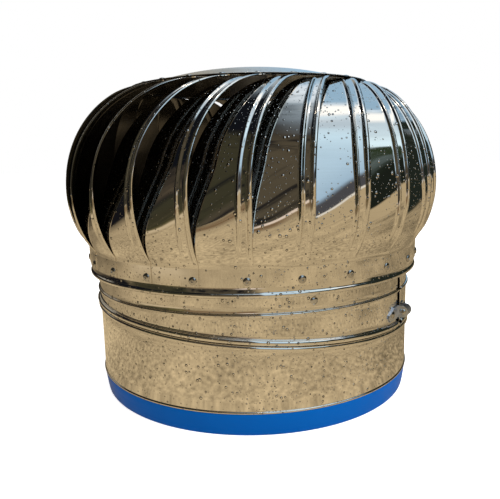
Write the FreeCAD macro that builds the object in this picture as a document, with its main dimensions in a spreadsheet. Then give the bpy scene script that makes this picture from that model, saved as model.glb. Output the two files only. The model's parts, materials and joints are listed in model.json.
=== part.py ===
"""Wind-driven turbine cap for a round duct, a parametric model in millimetres.

The frame stands on the foot of the base collar: +Z is the spin axis of the rotor, and the side with the
camera in the photograph is -Y. Azimuths are degrees about +Z, counted from -Y towards +X.
"""
import FreeCAD, Part
import os
from math import atan2, cos, degrees, pi, radians, sin, sqrt

import Sketcher
from FreeCAD import Placement, Rotation, Vector

SIZES = {
    # sheet metal
    "gauge": 0.6,
    "lap_clearance": 0.2,
    "seat_clearance": 0.03,
    # base collar
    "bore_radius": 145.0,
    "foot_wall": 3.0,
    "collar_flare": 0.6,
    "collar_height": 19.0,
    "spigot_wall": 4.1,
    "spigot_height": 26.0,
    "spigot_clearance": 0.3,
    # lower throat and the swivel seam
    "foot_bead": 0.9,
    "bead_proud": 0.1,
    "lower_length": 56.0,
    "seam_tilt": 4.1,
    "seam_gap": 0.15,
    "lower_bead": 2.1,
    "lower_bead_stand": 0.2,
    "upper_bead": 2.4,
    "upper_bead_stand": 0.5,
    "sleeve_clearance": 1.8,
    "sleeve_height": 10.0,
    # upper throat
    "upper_length": 53.0,
    "band_bead": 1.2,
    "band_drop": 29.5,
    "split_azimuth": 58.5,
    "split_width": 8.0,
    "split_stop": 15.0,
    # clamp on the split
    "ear_gauge": 1.2,
    "ear_reach": 10.0,
    "ear_height": 10.4,
    "ear_foot_width": 20.0,
    "ear_foot_drop": 1.0,
    "ear_nose_lift": 0.5,
    "clamp_drop": 18.5,
    "clamp_screw_radius": 1.5,
    "clamp_screw_clearance": 0.1,
    "clamp_screw_run_out": 1.5,
    "clamp_head_radius": 2.9,
    "clamp_head_rise": 1.6,
    "recess_width": 0.7,
    "recess_depth": 0.9,
    "clamp_nut_width": 5.5,
    "clamp_nut_rise": 2.4,
    "ear_rivet_radius": 1.6,
    "ear_rivet_reach": 12.0,
    "front_rivet_drop": 0.8,
    "back_rivet_lift": 0.4,
    # cross braces of the neck
    "brace_azimuth": 18.0,
    "brace_width": 18.0,
    "brace_gauge": 3.0,
    "brace_tab": 9.0,
    "brace_drop": 6.5,
    "brace_pitch": 21.5,
    # shaft and its nuts
    "shaft_radius": 6.0,
    "shaft_run_out": 4.0,
    "shaft_chamfer": 1.0,
    "nut_width": 18.0,
    "nut_rise": 6.0,
    "washer_radius": 12.0,
    "washer_gauge": 1.0,
    "spacer_wall": 2.0,
    "spacer_length": 2.5,
    "journal_radius": 5.0,
    "journal_run_out": 15.5,
    "lock_nut_width": 14.0,
    "lock_nut_rise": 4.5,
    # ball bearings
    "lower_bearing_radius": 16.0,
    "lower_bearing_width": 10.0,
    "lower_ball_radius": 2.95,
    "upper_bearing_radius": 15.0,
    "upper_bearing_width": 9.0,
    "upper_ball_radius": 2.4,
    "ball_clearance": 0.08,
    "ball_count": 8,
    # bearing housings
    "housing_wall": 3.0,
    "housing_skirt": 1.0,
    "housing_lip": 2.0,
    "shoulder": 3.0,
    "flange_radius": 32.0,
    "flange_gauge": 2.5,
    "flange_lift": 4.0,
    "hub_depth": 26.1,
    # rotor ring and its spider
    "ring_clearance": 5.4,
    "ring_height": 22.6,
    "ring_bead": 2.2,
    "ring_bead_inset": 0.2,
    "spider_width": 20.0,
    "spider_gauge": 3.0,
    "spider_tab": 13.0,
    # vanes
    "vane_count": 24,
    "vane_azimuth": 0.15,
    "foot_lift": 6.6,
    "belly_rise": 52.0,
    "belly_swell": 17.6,
    "section_radius": 90.0,
    "hem_lean": 30.0,
    "vane_lap": 3.4,
    "vane_width": 54.0,
    "shoulder_width": 27.0,
    "tip_width": 14.8,
    "tip_run_out": 3.0,
    "blend_height": 80.0,
    "rib_rise": 1.65,
    "rib_width": 4.4,
    "first_rib": 2.2,
    "second_rib": 10.4,
    "second_rib_lead": 10.0,
    "rib_run_in": 12.0,
    "rib_run_out": 25.0,
    "rib_end": 10.0,
    # rivets
    "rivet_radius": 1.6,
    "rivet_head_radius": 3.2,
    "rivet_head_rise": 1.2,
    "rivet_slack": 0.05,
    "rivet_lift": 4.7,
    "rivet_inset": 4.8,
    "rim_rivet_inset": 4.5,
    "rim_rivet_across": 5.7,
    "rim_rivet_depth": 1.45,
    "housing_rivet_pitch": 25.0,
    # top plate and its cap
    "plate_reach": 28.4,
    "plate_lip": 11.0,
    "tip_inset": 9.0,
    "plate_land": 33.0,
    "plate_rise": 14.4,
    "plate_sag": 2.3,
    "cap_radius": 12.0,
    "cap_rise": 2.2,
    "cap_stem": 5.0,
}

# Sizes that follow from the driving ones, from the duct outwards and from the foot upwards
DERIVED = {
    "foot_radius": "bore_radius + foot_wall",
    "spigot_radius": "bore_radius + spigot_wall",
    "throat_radius": "spigot_radius + spigot_clearance + gauge",
    "ring_radius": "throat_radius + ring_clearance + gauge",
    "equator_radius": "ring_radius + belly_swell",
    "crown_radius": "equator_radius - section_radius",
    "plate_radius": "crown_radius + plate_reach",
    "plate_rim": "plate_radius - plate_lip",
    "rim_rivet_radius": "plate_radius - rim_rivet_inset",
    "tip_radius": "plate_radius - tip_inset",
    "seam_height": "collar_height + lower_length",
    "throat_top": "seam_height + upper_length",
    "band_height": "throat_top - band_drop",
    "split_top": "throat_top - split_stop",
    "clamp_height": "band_height - clamp_drop",
    "upper_brace_height": "throat_top - brace_drop",
    "lower_brace_height": "upper_brace_height - brace_pitch",
    "shaft_foot": "lower_brace_height - washer_gauge - nut_rise - shaft_run_out",
    "stack_top": "upper_brace_height + brace_gauge + washer_gauge + nut_rise",
    "lower_bearing_height": "stack_top + spacer_length",
    "ring_top": "lower_bearing_height + flange_lift",
    "ring_foot": "ring_top - ring_height",
    "vane_foot": "ring_foot + foot_lift",
    "rivet_height": "vane_foot + rivet_lift",
    "equator_height": "ring_top + belly_rise",
    "plate_underside": "equator_height + section_radius + lap_clearance",
    "land_underside": "plate_underside + plate_rise",
    "upper_bearing_height": "land_underside - hub_depth",
}

doc = FreeCAD.newDocument("turbine_cap")
sheet = doc.addObject("Spreadsheet::Sheet", "sizes")
for row, (alias, value) in enumerate(SIZES.items(), start=1):
    sheet.set("A%d" % row, alias)
    sheet.set("B%d" % row, str(value))
    sheet.setAlias("B%d" % row, alias)
doc.recompute()

parts = {}


def spelled_out(expression, prefix=""):
    """The expression in the sheet's aliases alone, each with the prefix and derived sizes in brackets."""
    words = []
    word = ""
    for mark in expression + " ":
        if mark.isalnum() or mark == "_":
            word += mark
            continue
        if word in DERIVED:
            word = "(" + spelled_out(DERIVED[word], prefix) + ")"
        elif word in SIZES:
            word = prefix + word
        words.append(word + mark)
        word = ""
    return "".join(words).strip()


def size(expression):
    """Value of an expression of named sizes."""
    return float(sheet.evalExpression(spelled_out(expression)))


def bound(expression):
    """The expression as another object of the document binds to it."""
    return spelled_out(expression, "sizes.")


def keep(label, item):
    """Make the object a sub-part: its label names its file."""
    item.Label = label
    parts[label] = item
    return item


def body_named(label):
    body = doc.addObject("PartDesign::Body", "body_" + label)
    return keep(label, body)


# Well clear of every wall: how far a cut through one is drawn
OUTSIDE = "2 * throat_radius"


def sketch_on(body, name, plane, offset=None):
    """A sketch on one of the body's own origin planes."""
    sketch = body.newObject("Sketcher::SketchObject", name)
    origin = [f for f in body.Origin.OriginFeatures if f.Role == plane]
    sketch.AttachmentSupport = [(origin[0], "")]
    sketch.MapMode = "FlatFace"
    if offset:
        sketch.AttachmentOffset = offset
    return sketch


def tie(sketch, kind, where, expression):
    """A dimension of the sketch that follows the sheet."""
    index = sketch.addConstraint(Sketcher.Constraint(kind, *where, size(expression)))
    sketch.setExpression("Constraints[%d]" % index, bound(expression))


def outline(sketch, points):
    """Closed outline of straight edges through points given as pairs of expressions."""
    places = [Vector(size(across), size(up), 0) for across, up in points]
    count = len(points)
    for i in range(count):
        sketch.addGeometry(Part.LineSegment(places[i], places[(i + 1) % count]), False)
    for i in range(count):
        sketch.addConstraint(Sketcher.Constraint("Coincident", i, 2, (i + 1) % count, 1))
    for i, (across, up) in enumerate(points):
        tie(sketch, "DistanceX", (-1, 1, i, 1), across)
        tie(sketch, "DistanceY", (-1, 1, i, 1), up)


def circle(sketch, across, up, radius):
    """A circle whose centre and radius are expressions."""
    centre = Vector(size(across), size(up), 0)
    index = sketch.addGeometry(Part.Circle(centre, Vector(0, 0, 1), size(radius)), False)
    tie(sketch, "DistanceX", (-1, 1, index, 3), across)
    tie(sketch, "DistanceY", (-1, 1, index, 3), up)
    tie(sketch, "Radius", (index,), radius)


def turned(body, sketch, kind="PartDesign::Revolution"):
    """Turn the sketch a full round about its own vertical axis."""
    feature = body.newObject(kind, sketch.Name + "_turned")
    feature.Profile = sketch
    feature.ReferenceAxis = (sketch, ["V_Axis"])
    feature.Angle = 360
    sketch.Visibility = False
    doc.recompute()
    return feature


def ring_section(body, name, points, offset=None, kind="PartDesign::Revolution"):
    sketch = sketch_on(body, name, "XZ_Plane", offset)
    outline(sketch, points)
    return turned(body, sketch, kind)


def bead(body, name, across, up, radius, offset=None):
    """Rolled bead: a round rod turned about the axis."""
    sketch = sketch_on(body, name, "XZ_Plane", offset)
    circle(sketch, across, up, radius)
    return turned(body, sketch)


def azimuth_offset(angle):
    """Sketch plane through the axis whose normal points outwards at the azimuth."""
    return Placement(Vector(), Rotation(Vector(0, 1, 0), angle))


def cut_out(body, sketch, length):
    """Pocket from the axis outwards along the sketch's normal."""
    before = body.Shape.Volume
    pocket = body.newObject("PartDesign::Pocket", sketch.Name + "_cut")
    pocket.Profile = sketch
    pocket.Length = size(length)
    pocket.setExpression("Length", bound(length))
    pocket.Reversed = True
    sketch.Visibility = False
    doc.recompute()
    if not body.Shape.Volume < before:
        raise RuntimeError(sketch.Name + " cuts nothing")
    return pocket


def round_pattern(body, features, count):
    """Repeat the features about the vertical axis."""
    pattern = body.newObject("PartDesign::PolarPattern", features[0].Name + "_round")
    pattern.Originals = features
    axis = [f for f in body.Origin.OriginFeatures if f.Role == "Z_Axis"]
    pattern.Axis = (axis[0], [""])
    pattern.Angle = 360
    pattern.Occurrences = int(size(count))
    pattern.setExpression("Occurrences", bound(count))
    body.Tip = pattern
    doc.recompute()
    return pattern


def radial_holes(body, name, height, radius, reach, azimuth, count):
    """Round holes bored outwards through a wall, evenly spaced."""
    sketch = sketch_on(body, name, "XZ_Plane", azimuth_offset(azimuth))
    circle(sketch, "0", height, radius)
    pocket = cut_out(body, sketch, reach)
    return round_pattern(body, [pocket], count)


def tilted():
    """Offset of a sketch whose vertical axis is the swivel axis of the seam."""
    return Placement(Vector(0, size("seam_height"), 0), Rotation(Vector(0, 0, 1), -size("seam_tilt")))


def code_part(label, shape, placement=None):
    """Sub-part with a free-form or repeated shape."""
    feature = doc.addObject("Part::Feature", "shape_" + label)
    feature.Shape = shape
    if placement:
        feature.Placement = placement.multiply(feature.Placement)
    return keep(label, feature)


def turned_to(azimuth):
    """Placement that turns a piece about the axis."""
    return Placement(Vector(), Rotation(Vector(0, 0, 1), azimuth))


def upright_rod(radius, across=0.0, along=0.0, foot=None):
    """A rod up through the whole cap, to bore a hole or to keep what lies inside it."""
    foot = -size(OUTSIDE) if foot is None else foot
    return Part.makeCylinder(radius, 3 * size(OUTSIDE), Vector(across, along, foot))


def radial_rod(radius, height, azimuth=0.0, start=0.0):
    """A level rod from a start radius outwards past every wall."""
    rod = Part.makeCylinder(radius, size(OUTSIDE), Vector(0, -start, height), Vector(0, -1, 0))
    rod.rotate(Vector(), Vector(0, 0, 1), azimuth)
    return rod


# Base: collar and lower throat

def base_collar():
    body = body_named("base_collar")
    top = "collar_height + spigot_height"
    ring_section(body, "collar_section", [
        ("bore_radius", "0"),
        ("foot_radius", "0"),
        ("throat_radius + collar_flare", "collar_height"),
        ("spigot_radius", "collar_height"),
        ("spigot_radius", top),
        ("bore_radius", top),
    ])


def lower_throat():
    body = body_named("lower_throat")
    inner = "throat_radius - gauge"
    foot = "collar_height + seat_clearance"
    ring_section(body, "lower_wall", [
        (inner, foot),
        ("throat_radius", foot),
        ("throat_radius", "throat_top"),
        (inner, "throat_top"),
    ])
    below = "0 - seam_gap - lower_bead"
    ring_section(body, "lower_seam_trim", [
        ("0", below + " - gauge / 2"),
        (OUTSIDE, below + " - gauge / 2"),
        (OUTSIDE, "throat_top"),
        ("0", "throat_top"),
    ], tilted(), "PartDesign::Groove")
    bead(body, "lower_seam_bead", "throat_radius + lower_bead_stand", below, "lower_bead", tilted())
    sleeve = inner + " - sleeve_clearance"
    root = below + " + gauge / 3"
    ring_section(body, "swivel_sleeve", [
        ("throat_radius + gauge / 2", root),
        (sleeve, "gauge / 2"),
        (sleeve, "sleeve_height"),
        (sleeve + " - gauge", "sleeve_height"),
        (sleeve + " - gauge", "0 - gauge / 3"),
        (inner + " + bead_proud", root),
    ], tilted())
    bead(body, "foot_rim", "throat_radius + bead_proud", foot + " + foot_bead", "foot_bead")


# Neck: split upper throat and its clamp

def upper_throat():
    body = body_named("upper_throat")
    inner = "throat_radius - gauge"
    ring_section(body, "upper_wall", [
        (inner, "collar_height"),
        ("throat_radius", "collar_height"),
        ("throat_radius", "throat_top"),
        (inner, "throat_top"),
    ])
    above = "seam_gap + upper_bead"
    ring_section(body, "upper_seam_trim", [
        ("0", "0 - seam_height"),
        (OUTSIDE, "0 - seam_height"),
        (OUTSIDE, above),
        ("0", above),
    ], tilted(), "PartDesign::Groove")
    bead(body, "upper_seam_bead", "throat_radius + upper_bead_stand", above, "upper_bead", tilted())
    bead(body, "band_rim", "throat_radius - gauge + band_bead", "band_height", "band_bead")
    split = sketch_on(body, "split", "XZ_Plane", azimuth_offset(size("split_azimuth")))
    outline(split, [
        ("0 - split_width / 2", "collar_height"),
        ("split_width / 2", "collar_height"),
        ("split_width / 2", "split_top"),
        ("0 - split_width / 2", "split_top"),
    ])
    cut_out(body, split, OUTSIDE)
    for level, height in brace_levels():
        radial_holes(body, level + "_brace_holes", height, "rivet_radius + seat_clearance",
                     OUTSIDE, size("brace_azimuth"), "4")
    ear_azimuths = [size("split_azimuth") + side * ear_rivet_lead() for side in (-1, 1)]
    for side, azimuth in zip(("front", "back"), ear_azimuths):
        sketch = sketch_on(body, side + "_ear_hole", "XZ_Plane", azimuth_offset(azimuth))
        circle(sketch, "0", ear_rivet_height(side), "ear_rivet_radius + seat_clearance")
        cut_out(body, sketch, OUTSIDE)


def brace_levels():
    """Each cross brace's name and the height of its rivets."""
    return (("lower", "lower_brace_height + brace_gauge + brace_tab / 2"),
            ("upper", "upper_brace_height - brace_tab / 2"))


def ear_rivet_lead():
    """Degrees between the split's middle and an ear's rivet."""
    return degrees(size("(split_width / 2 + ear_rivet_reach) / throat_radius"))


def ear_rivet_height(side):
    return "clamp_height - front_rivet_drop" if side == "front" else "clamp_height + back_rivet_lift"


# Outline of an ear's foot: shares of its width from the lug, of half the lug's height and of the foot's drop
EAR_FOOT = ((0, -1, 0), (0.45, -1, -1), (0.85, -1, -1), (1, -0.25, -1),
            (0.95, 0.2, -1), (0.45, 1, -0.3), (0, 1, 0))
BACK_DROP_SHARE = -0.55


def clamp_ear(side):
    """A foot that follows the throat, and a lug with a round nose beside the split."""
    sign = -1 if side == "front" else 1
    wall = size("throat_radius + seat_clearance")
    gauge = size("ear_gauge")
    height = size("clamp_height")
    half = size("ear_height / 2")
    width = size("ear_foot_width")
    drop = size("ear_foot_drop") * (1 if side == "front" else BACK_DROP_SHARE)
    edge = size("split_width / 2")
    nose = wall + size("ear_reach") - half
    # the lug stands across the throat, its nose a half round about the screw's line
    outline_points = ((wall, -half), (nose, -half), (nose + half, 0), (nose, half), (wall, half))
    corners = [Vector(0, -out, height + up) for out, up in outline_points]
    rim = [Part.LineSegment(corners[0], corners[1]).toShape(),
           Part.Arc(corners[1], corners[2], corners[3]).toShape(),
           Part.LineSegment(corners[3], corners[4]).toShape(),
           Part.LineSegment(corners[4], corners[0]).toShape()]
    lug = Part.Face(Part.Wire(rim)).extrude(Vector(sign * gauge, 0, 0))
    lug.translate(Vector(sign * edge, 0, 0))
    # the foot runs away from the split and drops towards its rivet
    places = [Vector(sign * (edge + width * out), 0, height + half * up + drop * down)
              for out, up, down in EAR_FOOT]
    foot = Part.Face(Part.makePolygon(places + places[:1])).extrude(Vector(0, -2 * wall, 0))
    foot = foot.common(upright_rod(wall + gauge).cut(upright_rod(wall)))
    hole = Part.makeCylinder(size("clamp_screw_radius + clamp_screw_clearance"), 2 * width,
                             Vector(-width, -screw_line(), height), Vector(1, 0, 0))
    rivet_hole = radial_rod(size("ear_rivet_radius + seat_clearance"), size(ear_rivet_height(side)),
                            sign * ear_rivet_lead())
    shape = foot.fuse(lug).cut([upright_rod(wall), hole, rivet_hole]).removeSplitter()
    code_part("clamp_ear_" + side, shape.Solids[0] if len(shape.Solids) == 1 else shape,
              turned_to(size("split_azimuth")))


def screw_line():
    """Distance of the clamp screw's line from the axis."""
    return size("throat_radius + seat_clearance + ear_reach - ear_height / 2 + ear_nose_lift")


def on_clamp_line(label, shape):
    """Place a shape made along +X at the clamp's screw line."""
    turn = Rotation(Vector(0, 0, 1), size("split_azimuth"))
    place = turn.multVec(Vector(0, -screw_line(), size("clamp_height")))
    return code_part(label, shape, Placement(place, turn))


def hexagon_prism(width, rise):
    """Six-sided prism along +Z, width across its flats."""
    reach = width / sqrt(3)
    corners = [Vector(reach * cos(radians(60 * i)), reach * sin(radians(60 * i)), 0) for i in range(7)]
    return Part.Face(Part.makePolygon(corners)).extrude(Vector(0, 0, rise))


def clamp_screw():
    """Pan head with a cross recess, its shank through both lugs and the nut."""
    reach = size("split_width / 2 + ear_gauge + seat_clearance")
    radius = size("clamp_head_radius")
    rise = size("clamp_head_rise")
    length = 2 * reach + size("clamp_nut_rise + clamp_screw_run_out")
    shank = Part.makeCylinder(size("clamp_screw_radius"), length)
    dome = (radius ** 2 + rise ** 2) / (2 * rise)
    head = Part.makeCylinder(radius, rise, Vector(0, 0, -rise))
    head = head.common(Part.makeSphere(dome, Vector(0, 0, dome - rise)))
    width = size("recess_width")
    depth = size("recess_depth")
    for angle in (0, 90):
        slot = Part.makeBox(radius, width, depth, Vector(-radius / 2, -width / 2, -rise))
        slot.rotate(Vector(), Vector(0, 0, 1), angle)
        head = head.cut(slot)
    screw = shank.fuse(head).removeSplitter()
    screw.rotate(Vector(), Vector(0, 1, 0), 90)
    screw.translate(Vector(-reach, 0, 0))
    on_clamp_line("clamp_screw", screw)


def clamp_nut():
    reach = size("split_width / 2 + ear_gauge + seat_clearance")
    nut = hexagon_prism(size("clamp_nut_width"), size("clamp_nut_rise"))
    nut = nut.cut(upright_rod(size("clamp_screw_radius + seat_clearance")))
    nut.rotate(Vector(), Vector(0, 1, 0), 90)
    nut.translate(Vector(reach, 0, 0))
    on_clamp_line("clamp_nut", nut)


def rivet(grip, radius, head, rise):
    """Pan-head rivet along +X: the head's seat at 0, the formed tail past the grip."""
    dome = (head ** 2 + rise ** 2) / (2 * rise)
    shank = Part.makeCylinder(radius, grip, Vector(-grip, 0, 0), Vector(1, 0, 0))
    cap = Part.makeSphere(dome, Vector(rise - dome, 0, 0))
    cap = cap.common(Part.makeBox(2 * head, 3 * head, 3 * head, Vector(0, -1.5 * head, -1.5 * head)))
    tail = Part.makeCone(1.7 * radius, 1.3 * radius, 1.1 * radius, Vector(-grip, 0, 0), Vector(-1, 0, 0))
    return shank.fuse([cap, tail])


def radial_rivets(seat, grip, height, azimuths, radius="rivet_radius"):
    """Rivets through an upright wall, heads outside."""
    ratio = size("rivet_head_radius / rivet_radius")
    master = rivet(grip, size(radius), ratio * size(radius), size("rivet_head_rise"))
    copies = []
    for azimuth in azimuths:
        one = master.copy()
        one.translate(Vector(seat, 0, height))
        one.rotate(Vector(), Vector(0, 0, 1), azimuth - 90)
        copies.append(one)
    return copies


def upright_rivets(seat, grip, places):
    """Rivets through a level sheet, heads on top."""
    master = rivet(grip, size("rivet_radius"), size("rivet_head_radius"), size("rivet_head_rise"))
    master.rotate(Vector(), Vector(0, 1, 0), -90)
    copies = []
    for across, along in places:
        one = master.copy()
        one.translate(Vector(across, along, seat))
        copies.append(one)
    return copies


def clamp_ear_rivets():
    wall = size("throat_radius + seat_clearance + ear_gauge + rivet_slack")
    grip = size("gauge + ear_gauge + seat_clearance + 2 * rivet_slack")
    rivets = []
    for side, sign in (("front", -1), ("back", 1)):
        azimuth = size("split_azimuth") + sign * ear_rivet_lead()
        rivets += radial_rivets(wall, grip, size(ear_rivet_height(side)), [azimuth], "ear_rivet_radius")
    code_part("clamp_ear_rivets", Part.makeCompound(rivets))


# Neck: cross braces, shaft and inner races

def cross(inner, width, gauge, tab, height, tab_foot):
    """Four level arms out to a wall, each with an upright tab at its end."""
    arms = []
    for i in range(4):
        arm = Part.makeBox(width, inner, gauge, Vector(-width / 2, -inner, height))
        end = Part.makeBox(width, gauge, gauge + tab, Vector(-width / 2, -inner, tab_foot))
        for piece in (arm, end):
            piece.rotate(Vector(), Vector(0, 0, 1), 90 * i)
            arms.append(piece)
    return arms


def cross_brace(level, height_name, tab_sign, rivet_height):
    """Two flat bars in a cross, with bent tabs that follow the throat's inner wall."""
    inner = size("throat_radius - gauge - seat_clearance")
    width = size("brace_width")
    gauge = size("brace_gauge")
    tab = size("brace_tab")
    height = size(height_name)
    arms = cross(inner, width, gauge, tab, height, height if tab_sign > 0 else height - tab)
    hub = Part.makeCylinder(size("brace_width + 2 * washer_gauge"), gauge, Vector(0, 0, height))
    shape = hub.fuse(arms).common(upright_rod(inner))
    holes = [radial_rod(size("rivet_radius + seat_clearance"), size(rivet_height), 90 * i) for i in range(4)]
    shape = shape.cut([upright_rod(size("shaft_radius + seat_clearance"))] + holes)
    code_part(level + "_brace", shape.removeSplitter(), turned_to(size("brace_azimuth")))


def brace_rivets():
    seat = size("throat_radius + rivet_slack")
    grip = size("gauge + seat_clearance + brace_gauge + 2 * rivet_slack")
    azimuths = [size("brace_azimuth") + 90 * i for i in range(4)]
    rivets = []
    for _, height in brace_levels():
        rivets += radial_rivets(seat, grip, size(height), azimuths)
    code_part("brace_rivets", Part.makeCompound(rivets))


def shaft():
    body = body_named("shaft")
    ring_section(body, "shaft_section", [
        ("0", "shaft_foot"),
        ("shaft_radius - shaft_chamfer", "shaft_foot"),
        ("shaft_radius", "shaft_foot + shaft_chamfer"),
        ("shaft_radius", "upper_bearing_height"),
        ("journal_radius", "upper_bearing_height"),
        ("journal_radius", "upper_bearing_height + journal_run_out - shaft_chamfer"),
        ("journal_radius - shaft_chamfer", "upper_bearing_height + journal_run_out"),
        ("0", "upper_bearing_height + journal_run_out"),
    ])


def nut_stations():
    """Underside heights of the washers and nuts that clamp the two braces to the shaft."""
    washer = size("washer_gauge")
    nut = size("nut_rise")
    gauge = size("brace_gauge")
    stations = []
    for height in (size("lower_brace_height"), size("upper_brace_height")):
        stations.append((height - washer, height - washer - nut))
        stations.append((height + gauge, height + gauge + washer))
    return stations


def shaft_fasteners():
    bore = upright_rod(size("shaft_radius + seat_clearance"))
    washers = []
    nuts = []
    for washer_foot, nut_foot in nut_stations():
        washer = Part.makeCylinder(size("washer_radius"), size("washer_gauge"), Vector(0, 0, washer_foot))
        washers.append(washer.cut(bore))
        nut = hexagon_prism(size("nut_width"), size("nut_rise"))
        nut.translate(Vector(0, 0, nut_foot))
        nuts.append(nut.cut(bore))
    code_part("shaft_washers", Part.makeCompound(washers))
    code_part("shaft_nuts", Part.makeCompound(nuts))


def bearing_spacer():
    body = body_named("bearing_spacer")
    ring_section(body, "spacer_section", [
        ("shaft_radius + seat_clearance", "stack_top"),
        ("shaft_radius + spacer_wall", "stack_top"),
        ("shaft_radius + spacer_wall", "lower_bearing_height"),
        ("shaft_radius + seat_clearance", "lower_bearing_height"),
    ])


def lock_nut():
    body = body_named("lock_nut")
    sketch = sketch_on(body, "lock_nut_outline", "XY_Plane")
    reach = "lock_nut_width / sqrt(3)"
    outline(sketch, [("%s * %s" % (reach, across), "%s * %s" % (reach, up)) for across, up in (
        ("1", "0"), ("0.5", "0.5 * sqrt(3)"), ("-0.5", "0.5 * sqrt(3)"),
        ("-1", "0"), ("-0.5", "-0.5 * sqrt(3)"), ("0.5", "-0.5 * sqrt(3)"))])
    circle(sketch, "0", "0", "journal_radius + seat_clearance")
    pad = body.newObject("PartDesign::Pad", "lock_nut_pad")
    pad.Profile = sketch
    pad.setExpression("Length", bound("lock_nut_rise"))
    body.setExpression("Placement.Base.z", bound("upper_bearing_height + upper_bearing_width"))
    doc.recompute()


# Ball bearings

# How far a raceway's shoulders and a cage's walls reach, as shares of the ball's radius
SHOULDER_SHARE = 0.68
CAGE_HALF_WALL_SHARE = 0.45
CAGE_RISE_SHARE = 2.6


def bearing(name, bore):
    """Grooved races, balls and a cage: the races' raceways leave the balls a running clearance."""
    foot = name + "_bearing_height"
    top = "%s + %s_bearing_width" % (foot, name)
    middle = "%s + %s_bearing_width / 2" % (foot, name)
    outer = name + "_bearing_radius"
    ball = name + "_ball_radius"
    pitch = "(%s + %s) / 2" % (bore, outer)
    groove_radius = ball + " + ball_clearance"
    shoulder = "%s * %s" % (SHOULDER_SHARE, ball)
    for race, low, high in (("inner", bore + " + seat_clearance", pitch + " - " + shoulder),
                            ("outer", pitch + " + " + shoulder, outer)):
        body = body_named("%s_bearing_%s_race" % (name, race))
        ring_section(body, "%s_%s_section" % (name, race),
                     [(low, foot), (high, foot), (high, top), (low, top)])
        sketch = sketch_on(body, "%s_%s_raceway" % (name, race), "XZ_Plane")
        circle(sketch, pitch, middle, groove_radius)
        turned(body, sketch, "PartDesign::Groove")
    count = int(size("ball_count"))
    centre = Vector(size(pitch), 0, size(middle))
    balls = []
    pockets = []
    for i in range(count):
        one = Part.makeSphere(size(ball), centre)
        start = Vector(centre.x - size(ball), 0, centre.z)
        pocket = Part.makeCylinder(size(groove_radius), 2 * size(ball), start, Vector(1, 0, 0))
        for made, kept in ((one, balls), (pocket, pockets)):
            made.rotate(Vector(), Vector(0, 0, 1), 360.0 * i / count)
            kept.append(made)
    code_part(name + "_bearing_balls", Part.makeCompound(balls))
    half = CAGE_HALF_WALL_SHARE * size(ball)
    rise = CAGE_RISE_SHARE * size(ball)
    cage = Part.makeCylinder(size(pitch) + half, rise, Vector(0, 0, size(middle) - rise / 2))
    code_part(name + "_bearing_cage", cage.cut([upright_rod(size(pitch) - half)] + pockets))


# Rotor: hub pieces

def lower_housing():
    """Flanged cup that hangs the rotor's lower end on the outer race."""
    body = body_named("lower_bearing_housing")
    seat = "lower_bearing_radius + seat_clearance"
    wall = seat + " + housing_wall"
    skirt = "lower_bearing_height - housing_skirt"
    top = "lower_bearing_height + lower_bearing_width + seat_clearance"
    ring_section(body, "lower_housing_section", [
        (seat, skirt),
        (wall, skirt),
        (wall, "ring_top"),
        ("flange_radius", "ring_top"),
        ("flange_radius", "ring_top + flange_gauge"),
        (wall, "ring_top + flange_gauge"),
        (wall, top + " + housing_lip"),
        ("lower_bearing_radius - shoulder", top + " + housing_lip"),
        ("lower_bearing_radius - shoulder", top),
        (seat, top),
    ])
    upright_holes(body, "lower_housing_holes", "ring_top + 2 * flange_gauge", "3 * flange_gauge")


def upright_holes(body, name, height, depth):
    """Four rivet holes bored downwards through a flange."""
    sketch = sketch_on(body, name, "XY_Plane", Placement(Vector(0, 0, size(height)), Rotation()))
    sketch.setExpression("AttachmentOffset.Base.z", bound(height))
    circle(sketch, "housing_rivet_pitch", "0", "rivet_radius + seat_clearance")
    pocket = body.newObject("PartDesign::Pocket", name + "_cut")
    pocket.Profile = sketch
    pocket.setExpression("Length", bound(depth))
    doc.recompute()
    round_pattern(body, [pocket], "4")


def upper_housing():
    """Flanged cup under the top plate: its shoulder rests on the upper outer race."""
    body = body_named("upper_bearing_housing")
    seat = "upper_bearing_radius + seat_clearance"
    shoulder = "upper_bearing_height + upper_bearing_width + seat_clearance"
    ring_section(body, "upper_housing_section", [
        (seat, "upper_bearing_height - housing_skirt"),
        (seat + " + housing_wall", "upper_bearing_height - housing_skirt"),
        (seat + " + housing_wall", "land_underside - flange_gauge"),
        ("flange_radius", "land_underside - flange_gauge"),
        ("flange_radius", "land_underside"),
        ("0", "land_underside"),
        ("0", "land_underside - flange_gauge"),
        ("upper_bearing_radius - shoulder", "land_underside - flange_gauge"),
        ("upper_bearing_radius - shoulder", shoulder),
        (seat, shoulder),
    ])
    upright_holes(body, "upper_housing_holes", "land_underside + flange_gauge", "3 * flange_gauge")


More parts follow.
